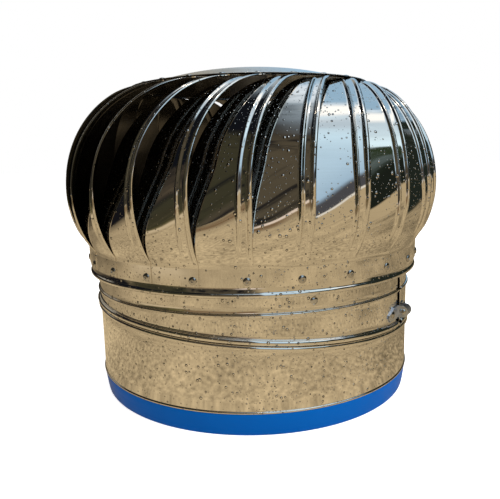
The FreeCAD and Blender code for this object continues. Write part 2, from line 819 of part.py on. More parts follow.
def top_plate():
    """Domed disc with a flat land at its centre and a level rim over the vanes' tips."""
    body = body_named("top_plate")
    sketch = sketch_on(body, "plate_section", "XZ_Plane")
    rim = size("plate_rim")
    land = size("plate_land")
    low = size("plate_underside")
    high = size("land_underside")
    gauge = size("gauge")
    edge = size("plate_radius")
    stem = size("cap_stem")
    sag = size("plate_sag")

    def crown(lift):
        """Arc from the land to the rim, crowned upwards."""
        start = Vector(land, high + lift, 0)
        end = Vector(rim, low + lift, 0)
        middle = (start + end) / 2 + Vector(0, sag, 0)
        return start, middle, end

    start, middle, end = crown(0)
    top_start, top_middle, top_end = crown(gauge)
    lines = [
        Part.LineSegment(Vector(stem, high, 0), start),
        Part.Arc(start, middle, end),
        Part.LineSegment(end, Vector(edge, low, 0)),
        Part.LineSegment(Vector(edge, low, 0), Vector(edge, low + gauge, 0)),
        Part.LineSegment(Vector(edge, low + gauge, 0), top_end),
        Part.Arc(top_end, top_middle, top_start),
        Part.LineSegment(top_start, Vector(stem, high + gauge, 0)),
        Part.LineSegment(Vector(stem, high + gauge, 0), Vector(stem, high, 0)),
    ]
    sketch.addGeometry(lines, False)
    # each arc's end numbers depend on its turn, so the joints are made by place
    corners = [("cap_stem", "land_underside"), ("plate_land", "land_underside"),
               ("plate_rim", "plate_underside"),
               ("plate_radius", "plate_underside"), ("plate_radius", "plate_underside + gauge"),
               ("plate_rim", "plate_underside + gauge"), ("plate_land", "land_underside + gauge"),
               ("cap_stem", "land_underside + gauge")]
    count = len(corners)
    for i, (across, up) in enumerate(corners):
        place = Vector(size(across), size(up), 0)
        before = end_at(sketch, (i - 1) % count, place)
        after = end_at(sketch, i, place)
        sketch.addConstraint(Sketcher.Constraint("Coincident", (i - 1) % count, before, i, after))
        tie(sketch, "DistanceX", (-1, 1, i, after), across)
        tie(sketch, "DistanceY", (-1, 1, i, after), up)
    half = "hypot(plate_rim - plate_land; plate_rise) / 2"
    dome_radius = "(pow(%s; 2) + pow(plate_sag; 2)) / (2 * plate_sag)" % half
    tie(sketch, "Radius", (1,), dome_radius)
    tie(sketch, "Radius", (5,), dome_radius)
    turned(body, sketch)
    upright_holes(body, "plate_land_holes", "land_underside + flange_gauge", "2 * flange_gauge")
    turn = Rotation(Vector(0, 0, 1), size("vane_azimuth") + rim_rivet_lead())
    above = Vector(0, 0, size("plate_underside + flange_gauge"))
    holes = sketch_on(body, "plate_rim_hole", "XY_Plane", Placement(above, turn))
    circle(holes, "0", "0 - rim_rivet_radius", "rivet_radius + seat_clearance")
    pocket = body.newObject("PartDesign::Pocket", "plate_rim_hole_cut")
    pocket.Profile = holes
    pocket.setExpression("Length", bound("2 * flange_gauge"))
    doc.recompute()
    round_pattern(body, [pocket], "vane_count")


def end_at(sketch, index, place):
    """Number of the edge's end that lies at the place: 1 for its start and 2 for its end."""
    return 1 if sketch.getPoint(index, 1).distanceToPoint(place) < 1e-6 else 2


def centre_cap():
    body = body_named("centre_cap")
    land = "land_underside + gauge"
    ring_section(body, "cap_section", [
        ("0", "land_underside"),
        ("cap_stem - seat_clearance", "land_underside"),
        ("cap_stem - seat_clearance", land),
        ("cap_radius", land),
        ("cap_radius", land + " + cap_rise * 0.35"),
        ("cap_radius * 0.82", land + " + cap_rise * 0.8"),
        ("cap_radius * 0.5", land + " + cap_rise"),
        ("0", land + " + cap_rise"),
    ])


def rotor_ring():
    """Upright band that carries the vanes, with a rolled rim at its foot."""
    body = body_named("rotor_ring")
    inner = "ring_radius - gauge"
    ring_section(body, "ring_wall", [
        (inner, "ring_foot"),
        ("ring_radius", "ring_foot"),
        ("ring_radius", "ring_top"),
        (inner, "ring_top"),
    ])
    bead(body, "ring_rim", "ring_radius - gauge - ring_bead_inset", "ring_foot", "ring_bead")
    radial_holes(body, "ring_vane_holes", "rivet_height", "rivet_radius + seat_clearance", OUTSIDE,
                 rivet_azimuths()[0], "vane_count")


def spider():
    """Four flat arms from the lower housing's flange to bent tabs inside the ring."""
    inner = size("ring_radius - gauge - seat_clearance")
    gauge = size("spider_gauge")
    tab = size("spider_tab")
    height = size("ring_top - spider_gauge")
    turn = rivet_azimuths()[1]
    hub = Part.makeCylinder(size("flange_radius"), gauge, Vector(0, 0, height))
    arms = cross(inner, size("spider_width"), gauge, tab, height, height - tab)
    shape = hub.fuse(arms).common(upright_rod(inner))
    hole = size("rivet_radius + seat_clearance")
    holes = [radial_rod(hole, size("rivet_height"), 90 * i) for i in range(4)]
    for across, along in housing_rivet_places():
        drill = upright_rod(hole, across, along)
        drill.rotate(Vector(), Vector(0, 0, 1), -turn)
        holes.append(drill)
    cup = upright_rod(size("lower_bearing_radius + 2 * seat_clearance + housing_wall"))
    code_part("ring_spider", shape.cut([cup] + holes).removeSplitter(), turned_to(turn))


def housing_rivet_places():
    pitch = size("housing_rivet_pitch")
    return [(pitch, 0), (0, pitch), (-pitch, 0), (0, -pitch)]


def hub_rivets():
    places = housing_rivet_places()
    lower_seat = size("ring_top + flange_gauge")
    upper_seat = size("land_underside + gauge")
    rivets = upright_rivets(lower_seat, size("flange_gauge + spider_gauge"), places)
    rivets += upright_rivets(upper_seat, size("flange_gauge + gauge"), places)
    code_part("housing_rivets", Part.makeCompound(rivets))


# Rotor: louvred vanes

class VaneForm:
    """Outer face of one vane with its hem at azimuth 0: up from its foot, and across from its hem."""

    def __init__(self):
        self.gauge = size("gauge")
        self.step = size("gauge + lap_clearance")
        self.tab_radius = size("ring_radius + 2 * lap_clearance + 2 * gauge")
        self.equator = size("equator_radius")
        self.height = size("equator_height")
        self.section = size("section_radius")
        self.foot = size("vane_foot")
        self.lean = radians(size("hem_lean"))
        inset = self.tab_radius - (self.equator - self.section)
        self.tab_top = self.height - sqrt(self.section ** 2 - inset ** 2)
        self.pitch = 360.0 / size("vane_count")
        self.arc = radians(self.pitch + size("vane_lap"))
        self.rise_length = self.height - self.foot
        self.crown_length = self.section * pi / 2
        self.length = self.rise_length + self.crown_length + size("tip_run_out")

    def hem(self, along):
        """Place of the hem, and how far it has leaned in, at a length along the vane."""
        if along <= self.rise_length:
            up = self.foot + along
            if up < self.tab_top:
                return Vector(0, -self.tab_radius, up), 0.0
            out = self.equator - self.section + sqrt(self.section ** 2 - (self.height - up) ** 2)
            return Vector(0, -out, up), 0.0
        angle = min((along - self.rise_length) / self.section, pi / 2)
        inward = self.section * (1 - cos(angle)) + max(0.0, along - self.rise_length - self.crown_length)
        place = Vector(inward * sin(self.lean), inward * cos(self.lean) - self.equator,
                       self.height + self.section * sin(angle))
        return place, inward

    def width(self, along):
        """Width of the sheet across from the hem."""
        place, inward = self.hem(along)
        full = size("vane_width")
        if inward > 0:
            share = inward / (self.section + size("tip_run_out"))
            middle = 2 * share * (1 - share) * size("shoulder_width")
            return full * (1 - share) ** 2 + middle + size("tip_width") * share ** 2
        ring_width = self.arc * self.tab_radius
        share = min(1.0, max(0.0, (place.z - self.tab_top) / (self.height - self.tab_top)))
        return ring_width + (full - ring_width) * share

    def plain(self, along, across):
        """Point of the smooth face: an arc round the ring at the foot, straight across higher up."""
        place, _ = self.hem(along)
        rise = min(1.0, max(0.0, (place.z - self.tab_top) / size("blend_height")))
        # eased at both ends, so that the sheet's inner edge has no kink
        share = rise ** 2 * (3 - 2 * rise)
        straight = place + Vector(-cos(self.lean), sin(self.lean), 0) * across
        if share >= 1.0:
            return straight
        reach = sqrt(place.x ** 2 + place.y ** 2)
        turn = atan2(place.x, -place.y) - across / reach
        radius = reach - self.step * across / self.width(along)
        curved = Vector(radius * sin(turn), -radius * cos(turn), place.z)
        return curved * (1 - share) + straight * share

    def normal(self, along, across):
        small = self.gauge / 12
        up = self.plain(along + small, across) - self.plain(along - small, across)
        left = self.plain(along, across + small) - self.plain(along, across - small)
        return up.cross(left).normalize()

    def ribs(self, along, across):
        """Rise of the two pressed ribs beside the hem: they run out at the tab and under the top plate."""
        place, inward = self.hem(along)
        top_fade = min(1.0, max(0.0, (self.section - size("rib_end") - inward) / size("rib_run_out")))
        rise = 0.0
        for centre, fade_out in ((size("first_rib"), self.tab_top),
                                 (size("second_rib"), self.tab_top + size("second_rib_lead"))):
            offset = abs(across - centre) / (size("rib_width") / 2)
            fade = min(1.0, max(0.0, (place.z - fade_out) / size("rib_run_in"))) * top_fade
            if offset < 1:
                rise += size("rib_rise") * fade * cos(offset * pi / 2) ** 2
        return rise

    def stations(self, along):
        """Distances across from the hem: close over the ribs, wider over the open sheet."""
        first = size("first_rib")
        second = size("second_rib")
        half = size("rib_width") / 2
        steps = [0.0, first * 0.5]
        steps += [first + half * share for share in (0, 0.5, 1.0, 1.5)]
        steps += [second + half * share for share in (-1.5, -1.0, -0.5, 0, 0.5, 1.0, 1.5)]
        start = steps[-1]
        rest = self.width(along) - start
        steps += [start + rest * share for share in (0.12, 0.3, 0.5, 0.7, 0.88, 1.0)]
        return steps

    def rows(self):
        count = 34
        return [self.length * i / (count - 1) for i in range(count)]


def clamped_knots(count):
    """Knots and multiplicities of a cubic with its ends held."""
    inner = count - 4
    return [float(i) for i in range(inner + 2)], [4] + [1] * inner + [4]


def cubic_face(grid):
    surface = Part.BSplineSurface()
    along_knots, along_mults = clamped_knots(len(grid))
    across_knots, across_mults = clamped_knots(len(grid[0]))
    surface.buildFromPolesMultsKnots(grid, along_mults, across_mults, along_knots, across_knots,
                                     False, False, 3, 3)
    return surface.toShape()


def side_face(outer, inner):
    """Narrow face of the sheet's edge between two rows of poles."""
    surface = Part.BSplineSurface()
    knots, mults = clamped_knots(len(outer))
    surface.buildFromPolesMultsKnots([outer, inner], [2, 2], mults, [0.0, 1.0], knots, False, False, 1, 3)
    return surface.toShape()


def vane_master():
    form = VaneForm()
    outer = []
    inner = []
    for along in form.rows():
        outer_row = []
        inner_row = []
        for across in form.stations(along):
            normal = form.normal(along, across)
            point = form.plain(along, across) + normal * form.ribs(along, across)
            outer_row.append(point)
            inner_row.append(point - normal * form.gauge)
        outer.append(outer_row)
        inner.append(inner_row)
    faces = [cubic_face(outer), cubic_face(inner),
             side_face(outer[0], inner[0]), side_face(outer[-1], inner[-1]),
             side_face([row[0] for row in outer], [row[0] for row in inner]),
             side_face([row[-1] for row in outer], [row[-1] for row in inner])]
    shell = Part.makeShell(faces)
    shell.sewShape()
    solid = Part.makeSolid(shell.Shells[0] if shell.ShapeType != "Shell" else shell)
    if solid.Volume < 0:
        solid.reverse()
    hole = size("rivet_radius + seat_clearance")
    cuts = [upright_rod(size("tip_radius"), foot=form.height)]
    for azimuth in (own_rivet_azimuth(), own_rivet_azimuth() - form.pitch):
        cuts.append(radial_rod(hole, size("rivet_height"), azimuth, size("throat_radius")))
    lead = radians(rim_rivet_lead())
    radius = size("rim_rivet_radius")
    cuts.append(upright_rod(hole, radius * sin(lead), -radius * cos(lead), form.height))
    for tool in cuts:
        solid = solid.cut(tool)
    return solid.Solids[0] if len(solid.Solids) == 1 else solid


def own_rivet_azimuth():
    """Azimuth of a vane's own tab rivet, counted from its hem's edge."""
    return -degrees(size("rivet_inset / (ring_radius + 2 * gauge)"))


def rim_rivet_lead():
    """Azimuth of a vane's rim rivet, counted from its hem's foot: where the rivet circle crosses its line."""
    lean = radians(size("hem_lean"))
    equator = size("equator_radius")
    across = size("rim_rivet_across")
    chord = (equator * sin(lean) - across) ** 2
    inward = equator * cos(lean) - sqrt(size("rim_rivet_radius") ** 2 - chord)
    return degrees(atan2(inward * sin(lean) - across * cos(lean),
                         equator - inward * cos(lean) - across * sin(lean)))


def rivet_azimuths():
    count = int(size("vane_count"))
    return [size("vane_azimuth") + own_rivet_azimuth() + 360.0 * i / count for i in range(count)]


def vanes():
    master = vane_master()
    count = int(size("vane_count"))
    for i in range(count):
        turn = Rotation(Vector(0, 0, 1), size("vane_azimuth") + 360.0 * i / count)
        code_part("vane_%02d" % (i + 1), master, Placement(Vector(), turn))


def vane_rivets():
    form = VaneForm()
    seat = form.tab_radius + size("rivet_slack")
    grip = seat - size("ring_radius - gauge - rivet_slack")
    azimuths = rivet_azimuths()
    quarter = len(azimuths) // 4
    through_spider = azimuths[1::quarter]
    plain = [azimuth for azimuth in azimuths if azimuth not in through_spider]
    lower = radial_rivets(seat, grip, size("rivet_height"), plain)
    long_grip = grip + size("seat_clearance + spider_gauge")
    lower += radial_rivets(seat, long_grip, size("rivet_height"), through_spider)
    code_part("vane_lower_rivets", Part.makeCompound(lower))
    count = int(size("vane_count"))
    radius = size("rim_rivet_radius")
    places = []
    for i in range(count):
        angle = radians(size("vane_azimuth") + rim_rivet_lead() + 360.0 * i / count)
        places.append((radius * sin(angle), -radius * cos(angle)))
    seat = size("plate_underside + gauge")
    upper = upright_rivets(seat, size("2 * gauge + rim_rivet_depth"), places)
    code_part("vane_upper_rivets", Part.makeCompound(upper))


def check_and_write():
    """Stop on any failed object, then write one file per sub-part."""
    doc.recompute()
    for item in doc.Objects:
        if "Invalid" in item.State or "Error" in item.State:
            raise RuntimeError("failed: " + item.Label)
    os.makedirs("parts", exist_ok=True)
    for label, item in parts.items():
        shape = item.Shape
        if shape.isNull() or not shape.isValid() or not shape.Solids:
            raise RuntimeError("no sound solid: " + label)
        shape.exportStep("parts/%s.step" % label)
    print(len(parts), "sub-parts written")


base_collar()
lower_throat()
upper_throat()
clamp_ear("front")
clamp_ear("back")
clamp_screw()
clamp_nut()
clamp_ear_rivets()
cross_brace("lower", "lower_brace_height", 1, brace_levels()[0][1])
cross_brace("upper", "upper_brace_height", -1, brace_levels()[1][1])
brace_rivets()
shaft()
shaft_fasteners()
bearing_spacer()
lock_nut()
bearing("lower", "shaft_radius")
bearing("upper", "journal_radius")
lower_housing()
upper_housing()
top_plate()
centre_cap()
rotor_ring()
spider()
hub_rivets()
vanes()
vane_rivets()
check_and_write()
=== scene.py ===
"""A wind-driven turbine cap of mirror-polished steel on a blue duct collar.

The sheet-metal pieces are spun or pressed here from the sizes below, in metres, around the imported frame.
Azimuths are degrees about +Z, counted from -Y, the viewer's side, towards +X.
"""
from __future__ import annotations

import json
import logging
import math
from collections.abc import Callable, Iterator
from contextlib import contextmanager
from dataclasses import dataclass
from enum import Enum

import bpy
from mathutils import Matrix, Vector

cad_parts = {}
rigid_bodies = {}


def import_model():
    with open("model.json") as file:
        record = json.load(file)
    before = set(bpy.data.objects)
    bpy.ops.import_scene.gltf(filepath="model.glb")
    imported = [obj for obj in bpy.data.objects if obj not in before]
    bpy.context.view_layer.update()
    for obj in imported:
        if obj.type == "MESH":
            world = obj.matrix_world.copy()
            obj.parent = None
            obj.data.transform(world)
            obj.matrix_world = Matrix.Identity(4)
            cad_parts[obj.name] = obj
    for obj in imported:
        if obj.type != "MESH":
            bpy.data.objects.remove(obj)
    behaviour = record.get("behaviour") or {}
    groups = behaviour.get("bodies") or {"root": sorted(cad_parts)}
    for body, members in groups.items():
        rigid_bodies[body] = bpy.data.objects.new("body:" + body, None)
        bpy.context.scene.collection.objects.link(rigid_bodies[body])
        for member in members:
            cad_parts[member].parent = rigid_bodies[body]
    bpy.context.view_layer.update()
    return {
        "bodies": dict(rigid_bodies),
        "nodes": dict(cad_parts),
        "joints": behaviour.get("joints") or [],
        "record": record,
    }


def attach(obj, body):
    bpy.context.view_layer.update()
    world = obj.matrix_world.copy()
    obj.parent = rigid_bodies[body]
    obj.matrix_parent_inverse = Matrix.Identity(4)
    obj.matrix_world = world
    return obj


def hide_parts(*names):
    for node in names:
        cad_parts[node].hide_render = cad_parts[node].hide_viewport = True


LOG = logging.getLogger("turbine_cap")
MM = 0.001
FULL_TURN = 2 * math.pi

Colour = tuple[float, float, float]
Limits = tuple[float, float]
Section = list[tuple[float, float]]
Object = bpy.types.Object
Socket = bpy.types.NodeSocket


class Shade(Enum):
    """How a finished mesh is shaded."""

    SMOOTH = 180.0
    CREASED = 35.0


@dataclass(frozen=True)
class Sheet:
    """Sizes that every sheet-metal piece shares."""

    gauge: float = 0.6 * MM
    lap: float = 0.2 * MM
    throat_radius: float = 150 * MM
    seam_height: float = 75 * MM
    seam_tilt: float = math.radians(4.1)
    ring_radius: float = 156 * MM
    hem_count: int = 24
    hem_azimuth: float = 0.15

    def seam_drop(self, across: float) -> float:
        """Height that the tilted seam loses at a distance across from the axis."""
        return -math.tan(self.seam_tilt) * across


SHEET = Sheet()


def clamp01(value: float) -> float:
    """The value held between 0 and 1."""
    return max(0.0, min(1.0, value))


def arc(centre: tuple[float, float], radius: float, start: float, end: float, count: int) -> Section:
    """Points of an arc in a section.

    Args:
        centre: Radius and height of the arc's centre.
        radius: The arc's own radius.
        start: First angle in degrees, 0 pointing outwards and 90 up.
        end: Last angle in degrees.
        count: Number of points.

    Returns:
        Pairs of radius and height.
    """
    points = []
    for i in range(count):
        angle = math.radians(start + (end - start) * i / (count - 1))
        points.append((centre[0] + radius * math.cos(angle), centre[1] + radius * math.sin(angle)))
    return points


def wall(radius: float, low: float, high: float, count: int) -> Section:
    """Points up an upright wall, its ends included."""
    return [(radius, low + (high - low) * i / (count - 1)) for i in range(count)]


def activate(piece: Object) -> None:
    """Select one object alone and make it active."""
    bpy.ops.object.select_all(action="DESELECT")
    piece.select_set(True)
    bpy.context.view_layer.objects.active = piece


def named(name: str) -> Object:
    """Name the object that a primitive has just made, and its mesh."""
    piece = bpy.context.active_object
    piece.name = name
    piece.data.name = name
    return piece


def apply_all(piece: Object, shade: Shade = Shade.SMOOTH) -> Object:
    """Apply an object's modifiers and its place, then shade it.

    Args:
        piece: The object to finish.
        shade: Smooth all over, or creased at sharp edges.

    Returns:
        The same object, at the origin with its place in its mesh.
    """
    activate(piece)
    for modifier in list(piece.modifiers):
        bpy.ops.object.modifier_apply(modifier=modifier.name)
    bpy.ops.object.transform_apply(location=True, rotation=True, scale=True)
    bpy.ops.object.shade_smooth_by_angle(angle=math.radians(shade.value))
    return piece


@contextmanager
def editing(piece: Object, select: str = "SELECT", kind: str = "VERT") -> Iterator[None]:
    """Edit an object's mesh, with all or nothing of it selected first, and leave edit mode afterwards."""
    activate(piece)
    bpy.ops.object.mode_set(mode="EDIT")
    bpy.ops.mesh.select_mode(type=kind)
    bpy.ops.mesh.select_all(action=select)
    yield
    bpy.ops.object.mode_set(mode="OBJECT")


def delete_where(piece: Object, kind: str, chosen: Callable[[object], bool]) -> None:
    """Delete the edges or the faces of a mesh for which a test holds."""
    with editing(piece, "DESELECT", kind):
        bpy.ops.object.mode_set(mode="OBJECT")
        for part in piece.data.edges if kind == "EDGE" else piece.data.polygons:
            part.select = chosen(part)
        bpy.ops.object.mode_set(mode="EDIT")
        bpy.ops.mesh.delete(type=kind)


def spun(name: str, section: Section, steps: int, closed: bool = False, azimuth: float = 0.0) -> Object:
    """Spin a section a full turn about the vertical axis.

    Args:
        name: The new object's name.
        section: Pairs of radius and height.
        steps: Faces round the turn.
        closed: Whether the section's last point joins its first.
        azimuth: Where the turn starts, in degrees.

    Returns:
        The spun object, its faces outwards.
    """
    bpy.ops.mesh.primitive_circle_add(vertices=len(section), radius=1.0, fill_type="NOTHING")
    piece = named(name)
    turn = math.radians(azimuth)
    for vertex, (radius, height) in zip(piece.data.vertices, section):
        vertex.co = (radius * math.sin(turn), -radius * math.cos(turn), height)
    if not closed:
        ends = {0, len(section) - 1}
        delete_where(piece, "EDGE", lambda edge: set(edge.vertices) == ends)
    with editing(piece):
        bpy.ops.mesh.spin(steps=steps, angle=FULL_TURN, center=(0, 0, 0), axis=(0, 0, 1))
        bpy.ops.mesh.select_all(action="SELECT")
        bpy.ops.mesh.remove_doubles(threshold=1e-6)
        bpy.ops.mesh.normals_make_consistent(inside=False)
    return piece


def face_outwards(piece: Object) -> None:
    """Turn an open sheet's faces away from the axis where its largest upright face looks inwards."""
    leanings = [(face.normal.x * face.center.x + face.normal.y * face.center.y) * face.area
                for face in piece.data.polygons]
    if max(leanings, key=abs) < 0:
        flip(piece)


def flip(piece: Object) -> None:
    """Turn every face of an object round."""
    with editing(piece):
        bpy.ops.mesh.flip_normals()


def tilt_seam(piece: Object, still: float, tilted: float) -> None:
    """Shear a throat's wall so that it stays level at one height and follows the seam at another."""
    for vertex in piece.data.vertices:
        vertex.co.z += SHEET.seam_drop(vertex.co.x) * clamp01((vertex.co.z - still) / (tilted - still))


def finish_sheet(piece: Object, finishes: Finishes, gauge: float = SHEET.gauge,
                 shade: Shade = Shade.SMOOTH) -> None:
    """Give an open sheet its materials and its gauge, which grows inwards.

    Args:
        piece: The sheet, its faces outwards.
        finishes: The finishes, of which the mirror goes outside and a near-black steel inside, painted shade
            for the dark inside the hollow.
        gauge: The sheet's thickness.
        shade: How it is shaded.
    """
    piece.data.materials.append(finishes.mirror)
    # The inner faces get near-black steel: painted shade, since the sheet is the same polished steel inside.
    piece.data.materials.append(finishes.painted_shade_lining)
    solidify = piece.modifiers.new("gauge", "SOLIDIFY")
    solidify.thickness = gauge
    solidify.offset = -1.0
    solidify.use_even_offset = True
    solidify.use_quality_normals = True
    solidify.material_offset = 1
    solidify.material_offset_rim = 0
    apply_all(piece, shade)


def copied(master: Object, name: str, place: Matrix) -> Object:
    """A copy of an object with its own mesh, moved by a matrix."""
    piece = master.copy()
    piece.data = master.data.copy()
    piece.name = name
    piece.data.name = name
    piece.data.transform(place)
    bpy.context.scene.collection.objects.link(piece)
    return piece


def joined(name: str, pieces: list[Object]) -> Object:
    """Join several objects into one."""
    bpy.ops.object.select_all(action="DESELECT")
    for piece in pieces:
        piece.select_set(True)
    bpy.context.view_layer.objects.active = pieces[0]
    bpy.ops.object.join()
    return named(name)


def install(piece: Object, body: str, slot: str, *nodes: str) -> None:
    """Let a finished piece stand for CAD nodes and ride on their body."""
    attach(piece, body)
    if nodes:
        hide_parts(*nodes)
    LOG.info("%s on %s, %d faces", piece.name, body, len(piece.data.polygons))


# Places of a Mix node's sockets for colours: it holds a set of sockets for each kind of value
MIX_FACTOR, MIX_FIRST, MIX_SECOND, MIX_RESULT = 0, 6, 7, 2


class NodeTree:
    """A small helper that adds and joins shader nodes."""

    def __init__(self, tree: bpy.types.NodeTree) -> None:
        """Keep the tree that nodes are added to."""
        self.tree = tree

    def fill(self, target: Socket, value: object) -> None:
        """Link an input to a socket, or give it a value of its own."""
        if isinstance(value, Socket):
            self.tree.links.new(value, target)
        else:
            target.default_value = value

    def dress(self, node: bpy.types.Node, **settings: object) -> bpy.types.Node:
        """Set a node's properties and fill its inputs.

        Args:
            node: The node.
            **settings: Properties by name, or inputs by name with underscores for spaces.

        Returns:
            The same node.
        """
        for name, value in settings.items():
            if hasattr(node, name):
                setattr(node, name, value)
            else:
                self.fill(node.inputs[name.replace("_", " ")], value)
        return node

    def add(self, kind: str, **settings: object) -> bpy.types.Node:
        """Add a node of a type that Blender names, with the settings that dress takes."""
        return self.dress(self.tree.nodes.new(kind), **settings)

    def effect(self, group: bpy.types.NodeTree, where: Socket,
               **values: float) -> bpy.types.NodeOutputs:
        """Add a shared effect with its own values and give its outputs."""
        return self.add("ShaderNodeGroup", node_tree=group, Vector=where, **values).outputs

    def math(self, operation: str, *values: object, clamp: bool = False) -> Socket:
        """Add a Math node from sockets or numbers and give its output."""
        node = self.add("ShaderNodeMath", operation=operation, use_clamp=clamp)
        for target, value in zip(node.inputs, values):
            self.fill(target, value)
        return node.outputs[0]

    def feed(self, node: bpy.types.Node, source: bpy.types.Node, *names: str) -> None:
        """Link a source's outputs to the inputs of the same names."""
        for name in names:
            self.fill(node.inputs[name], source.outputs[name])

    def times(self, first: object, second: object) -> Socket:
        """Product of two sockets or numbers."""
        return self.math("MULTIPLY", first, second)

    def degrees_of(self, rise: object, run: object) -> Socket:
        """Angle in degrees of a rise over a run."""
        return self.times(self.math("ARCTAN2", rise, run), 180 / math.pi)

    def reach(self, first: object, second: object) -> Socket:
        """Length of a flat vector from its two parts."""
        squares = self.math("ADD", self.times(first, first), self.times(second, second))
        return self.math("SQRT", squares)

    def window(self, value: Socket, limits: Limits, soft: float) -> Socket:
        """1 between two limits and 0 outside them, with soft edges."""
        rise = self.math("DIVIDE", self.math("SUBTRACT", value, limits[0] - soft / 2), soft, clamp=True)
        fall = self.math("DIVIDE", self.math("SUBTRACT", limits[1] + soft / 2, value), soft, clamp=True)
        return self.times(rise, fall)

    def mix(self, first: object, second: object, share: object) -> Socket:
        """Mix two colours, each a socket or a plain colour.

        Args:
            first: Colour at share 0.
            second: Colour at share 1.
            share: Socket of the second colour's share.

        Returns:
            The mixed colour's socket.
        """
        node = self.add("ShaderNodeMix", data_type="RGBA")
        self.fill(node.inputs[MIX_FACTOR], share)
        for index, colour in ((MIX_FIRST, first), (MIX_SECOND, second)):
            self.fill(node.inputs[index], colour if isinstance(colour, Socket) else (*colour, 1.0))
        return node.outputs[MIX_RESULT]


def new_material(name: str) -> tuple[bpy.types.Material, NodeTree, bpy.types.Node]:
    """A new material, a helper for its nodes, and its Principled shader."""
    material = bpy.data.materials.new(name)
    material.use_nodes = True
    return material, NodeTree(material.node_tree), material.node_tree.nodes["Principled BSDF"]


def new_group(name: str, inputs: dict[str, float],
              outputs: list[str]) -> tuple[NodeTree, bpy.types.Node, bpy.types.Node]:
    """Start a shader node group.

    Args:
        name: The group's name.
        inputs: Float inputs with their default values.
        outputs: Names of the float outputs.

    Returns:
        A helper that fills the group, and its input and output nodes.
    """
    group = bpy.data.node_groups.new(name, "ShaderNodeTree")
    group.interface.new_socket("Vector", in_out="INPUT", socket_type="NodeSocketVector")
    for label, value in inputs.items():
        socket = group.interface.new_socket(label, in_out="INPUT", socket_type="NodeSocketFloat")
        socket.default_value = value
    for label in outputs:
        group.interface.new_socket(label, in_out="OUTPUT", socket_type="NodeSocketFloat")
    tree = NodeTree(group)
    return tree, tree.add("NodeGroupInput"), tree.add("NodeGroupOutput")


class Effects:
    """Shader node groups that several finishes share."""

    def __init__(self) -> None:
        """Build each group once."""
        self.droplets = self.build_droplets()
        self.ripple = self.build_ripple()
        self.smudge = self.build_smudge()

    @staticmethod
    def build_droplets() -> bpy.types.NodeTree:
        """Rain drops: round domes of many sizes in loose clusters, each with a ring of painted shade at its
        edge.
        """
        tree, source, target = new_group("rain_drops", {"Scale": 90.0, "Size": 0.2, "Share": 0.5},
                                         ["Height", "Rim"])
        cells = tree.add("ShaderNodeTexVoronoi", feature="F1", voronoi_dimensions="3D")
        tree.feed(cells, source, "Vector", "Scale")
        split = tree.add("ShaderNodeSeparateColor", Color=cells.outputs["Color"])
        cluster = tree.add("ShaderNodeTexNoise", Scale=16.0, Detail=1.0)
        tree.feed(cluster, source, "Vector")
        crowd = tree.times(tree.math("SUBTRACT", cluster.outputs[0], 0.2), 2.4)
        kept = tree.math("LESS_THAN", split.outputs[0], tree.times(crowd, source.outputs["Share"]))
        spread = tree.math("ADD", tree.times(tree.math("POWER", split.outputs[1], 2.0), 0.7), 0.3)
        radius = tree.times(spread, source.outputs["Size"])
        share = tree.math("DIVIDE", cells.outputs["Distance"], radius)
        inside = tree.math("SUBTRACT", 1.0, tree.times(share, share), clamp=True)
        dome = tree.math("SQRT", inside)
        # Ring near each drop's edge, later painted dark: painted shade where a clear drop turns light away.
        rim = tree.math("MULTIPLY", tree.math("SUBTRACT", share, 0.66), 5.0, clamp=True)
        rim = tree.times(rim, tree.math("LESS_THAN", share, 1.0))
        tree.dress(target, Height=tree.times(tree.times(dome, kept), radius), Rim=tree.times(rim, kept))
        return tree.tree

    @staticmethod
    def build_ripple() -> bpy.types.NodeTree:
        """Slow waves of thin sheet."""
        tree, source, target = new_group("sheet_ripple", {"Scale": 14.0}, ["Height"])
        noise = tree.add("ShaderNodeTexNoise", Detail=1.5, Roughness=0.4)
        tree.feed(noise, source, "Vector", "Scale")
        tree.dress(target, Height=noise.outputs[0])
        return tree.tree

    @staticmethod
    def build_smudge() -> bpy.types.NodeTree:
        """Hazy patches and fine streaks of wiped steel."""
        tree, source, target = new_group("smudge", {"Scale": 25.0}, ["Haze", "Streak"])
        haze = tree.add("ShaderNodeTexNoise", Detail=5.0, Roughness=0.6)
        tree.feed(haze, source, "Vector", "Scale")
        stretch = tree.add("ShaderNodeMapping", Scale=(1.0, 1.0, 22.0))
        streak = tree.add("ShaderNodeTexNoise", Detail=3.0, Roughness=0.5)
        tree.feed(stretch, source, "Vector")
        tree.feed(streak, stretch, "Vector")
        tree.feed(streak, source, "Scale")
        tree.dress(target, Haze=haze.outputs[0], Streak=streak.outputs[0])
        return tree.tree


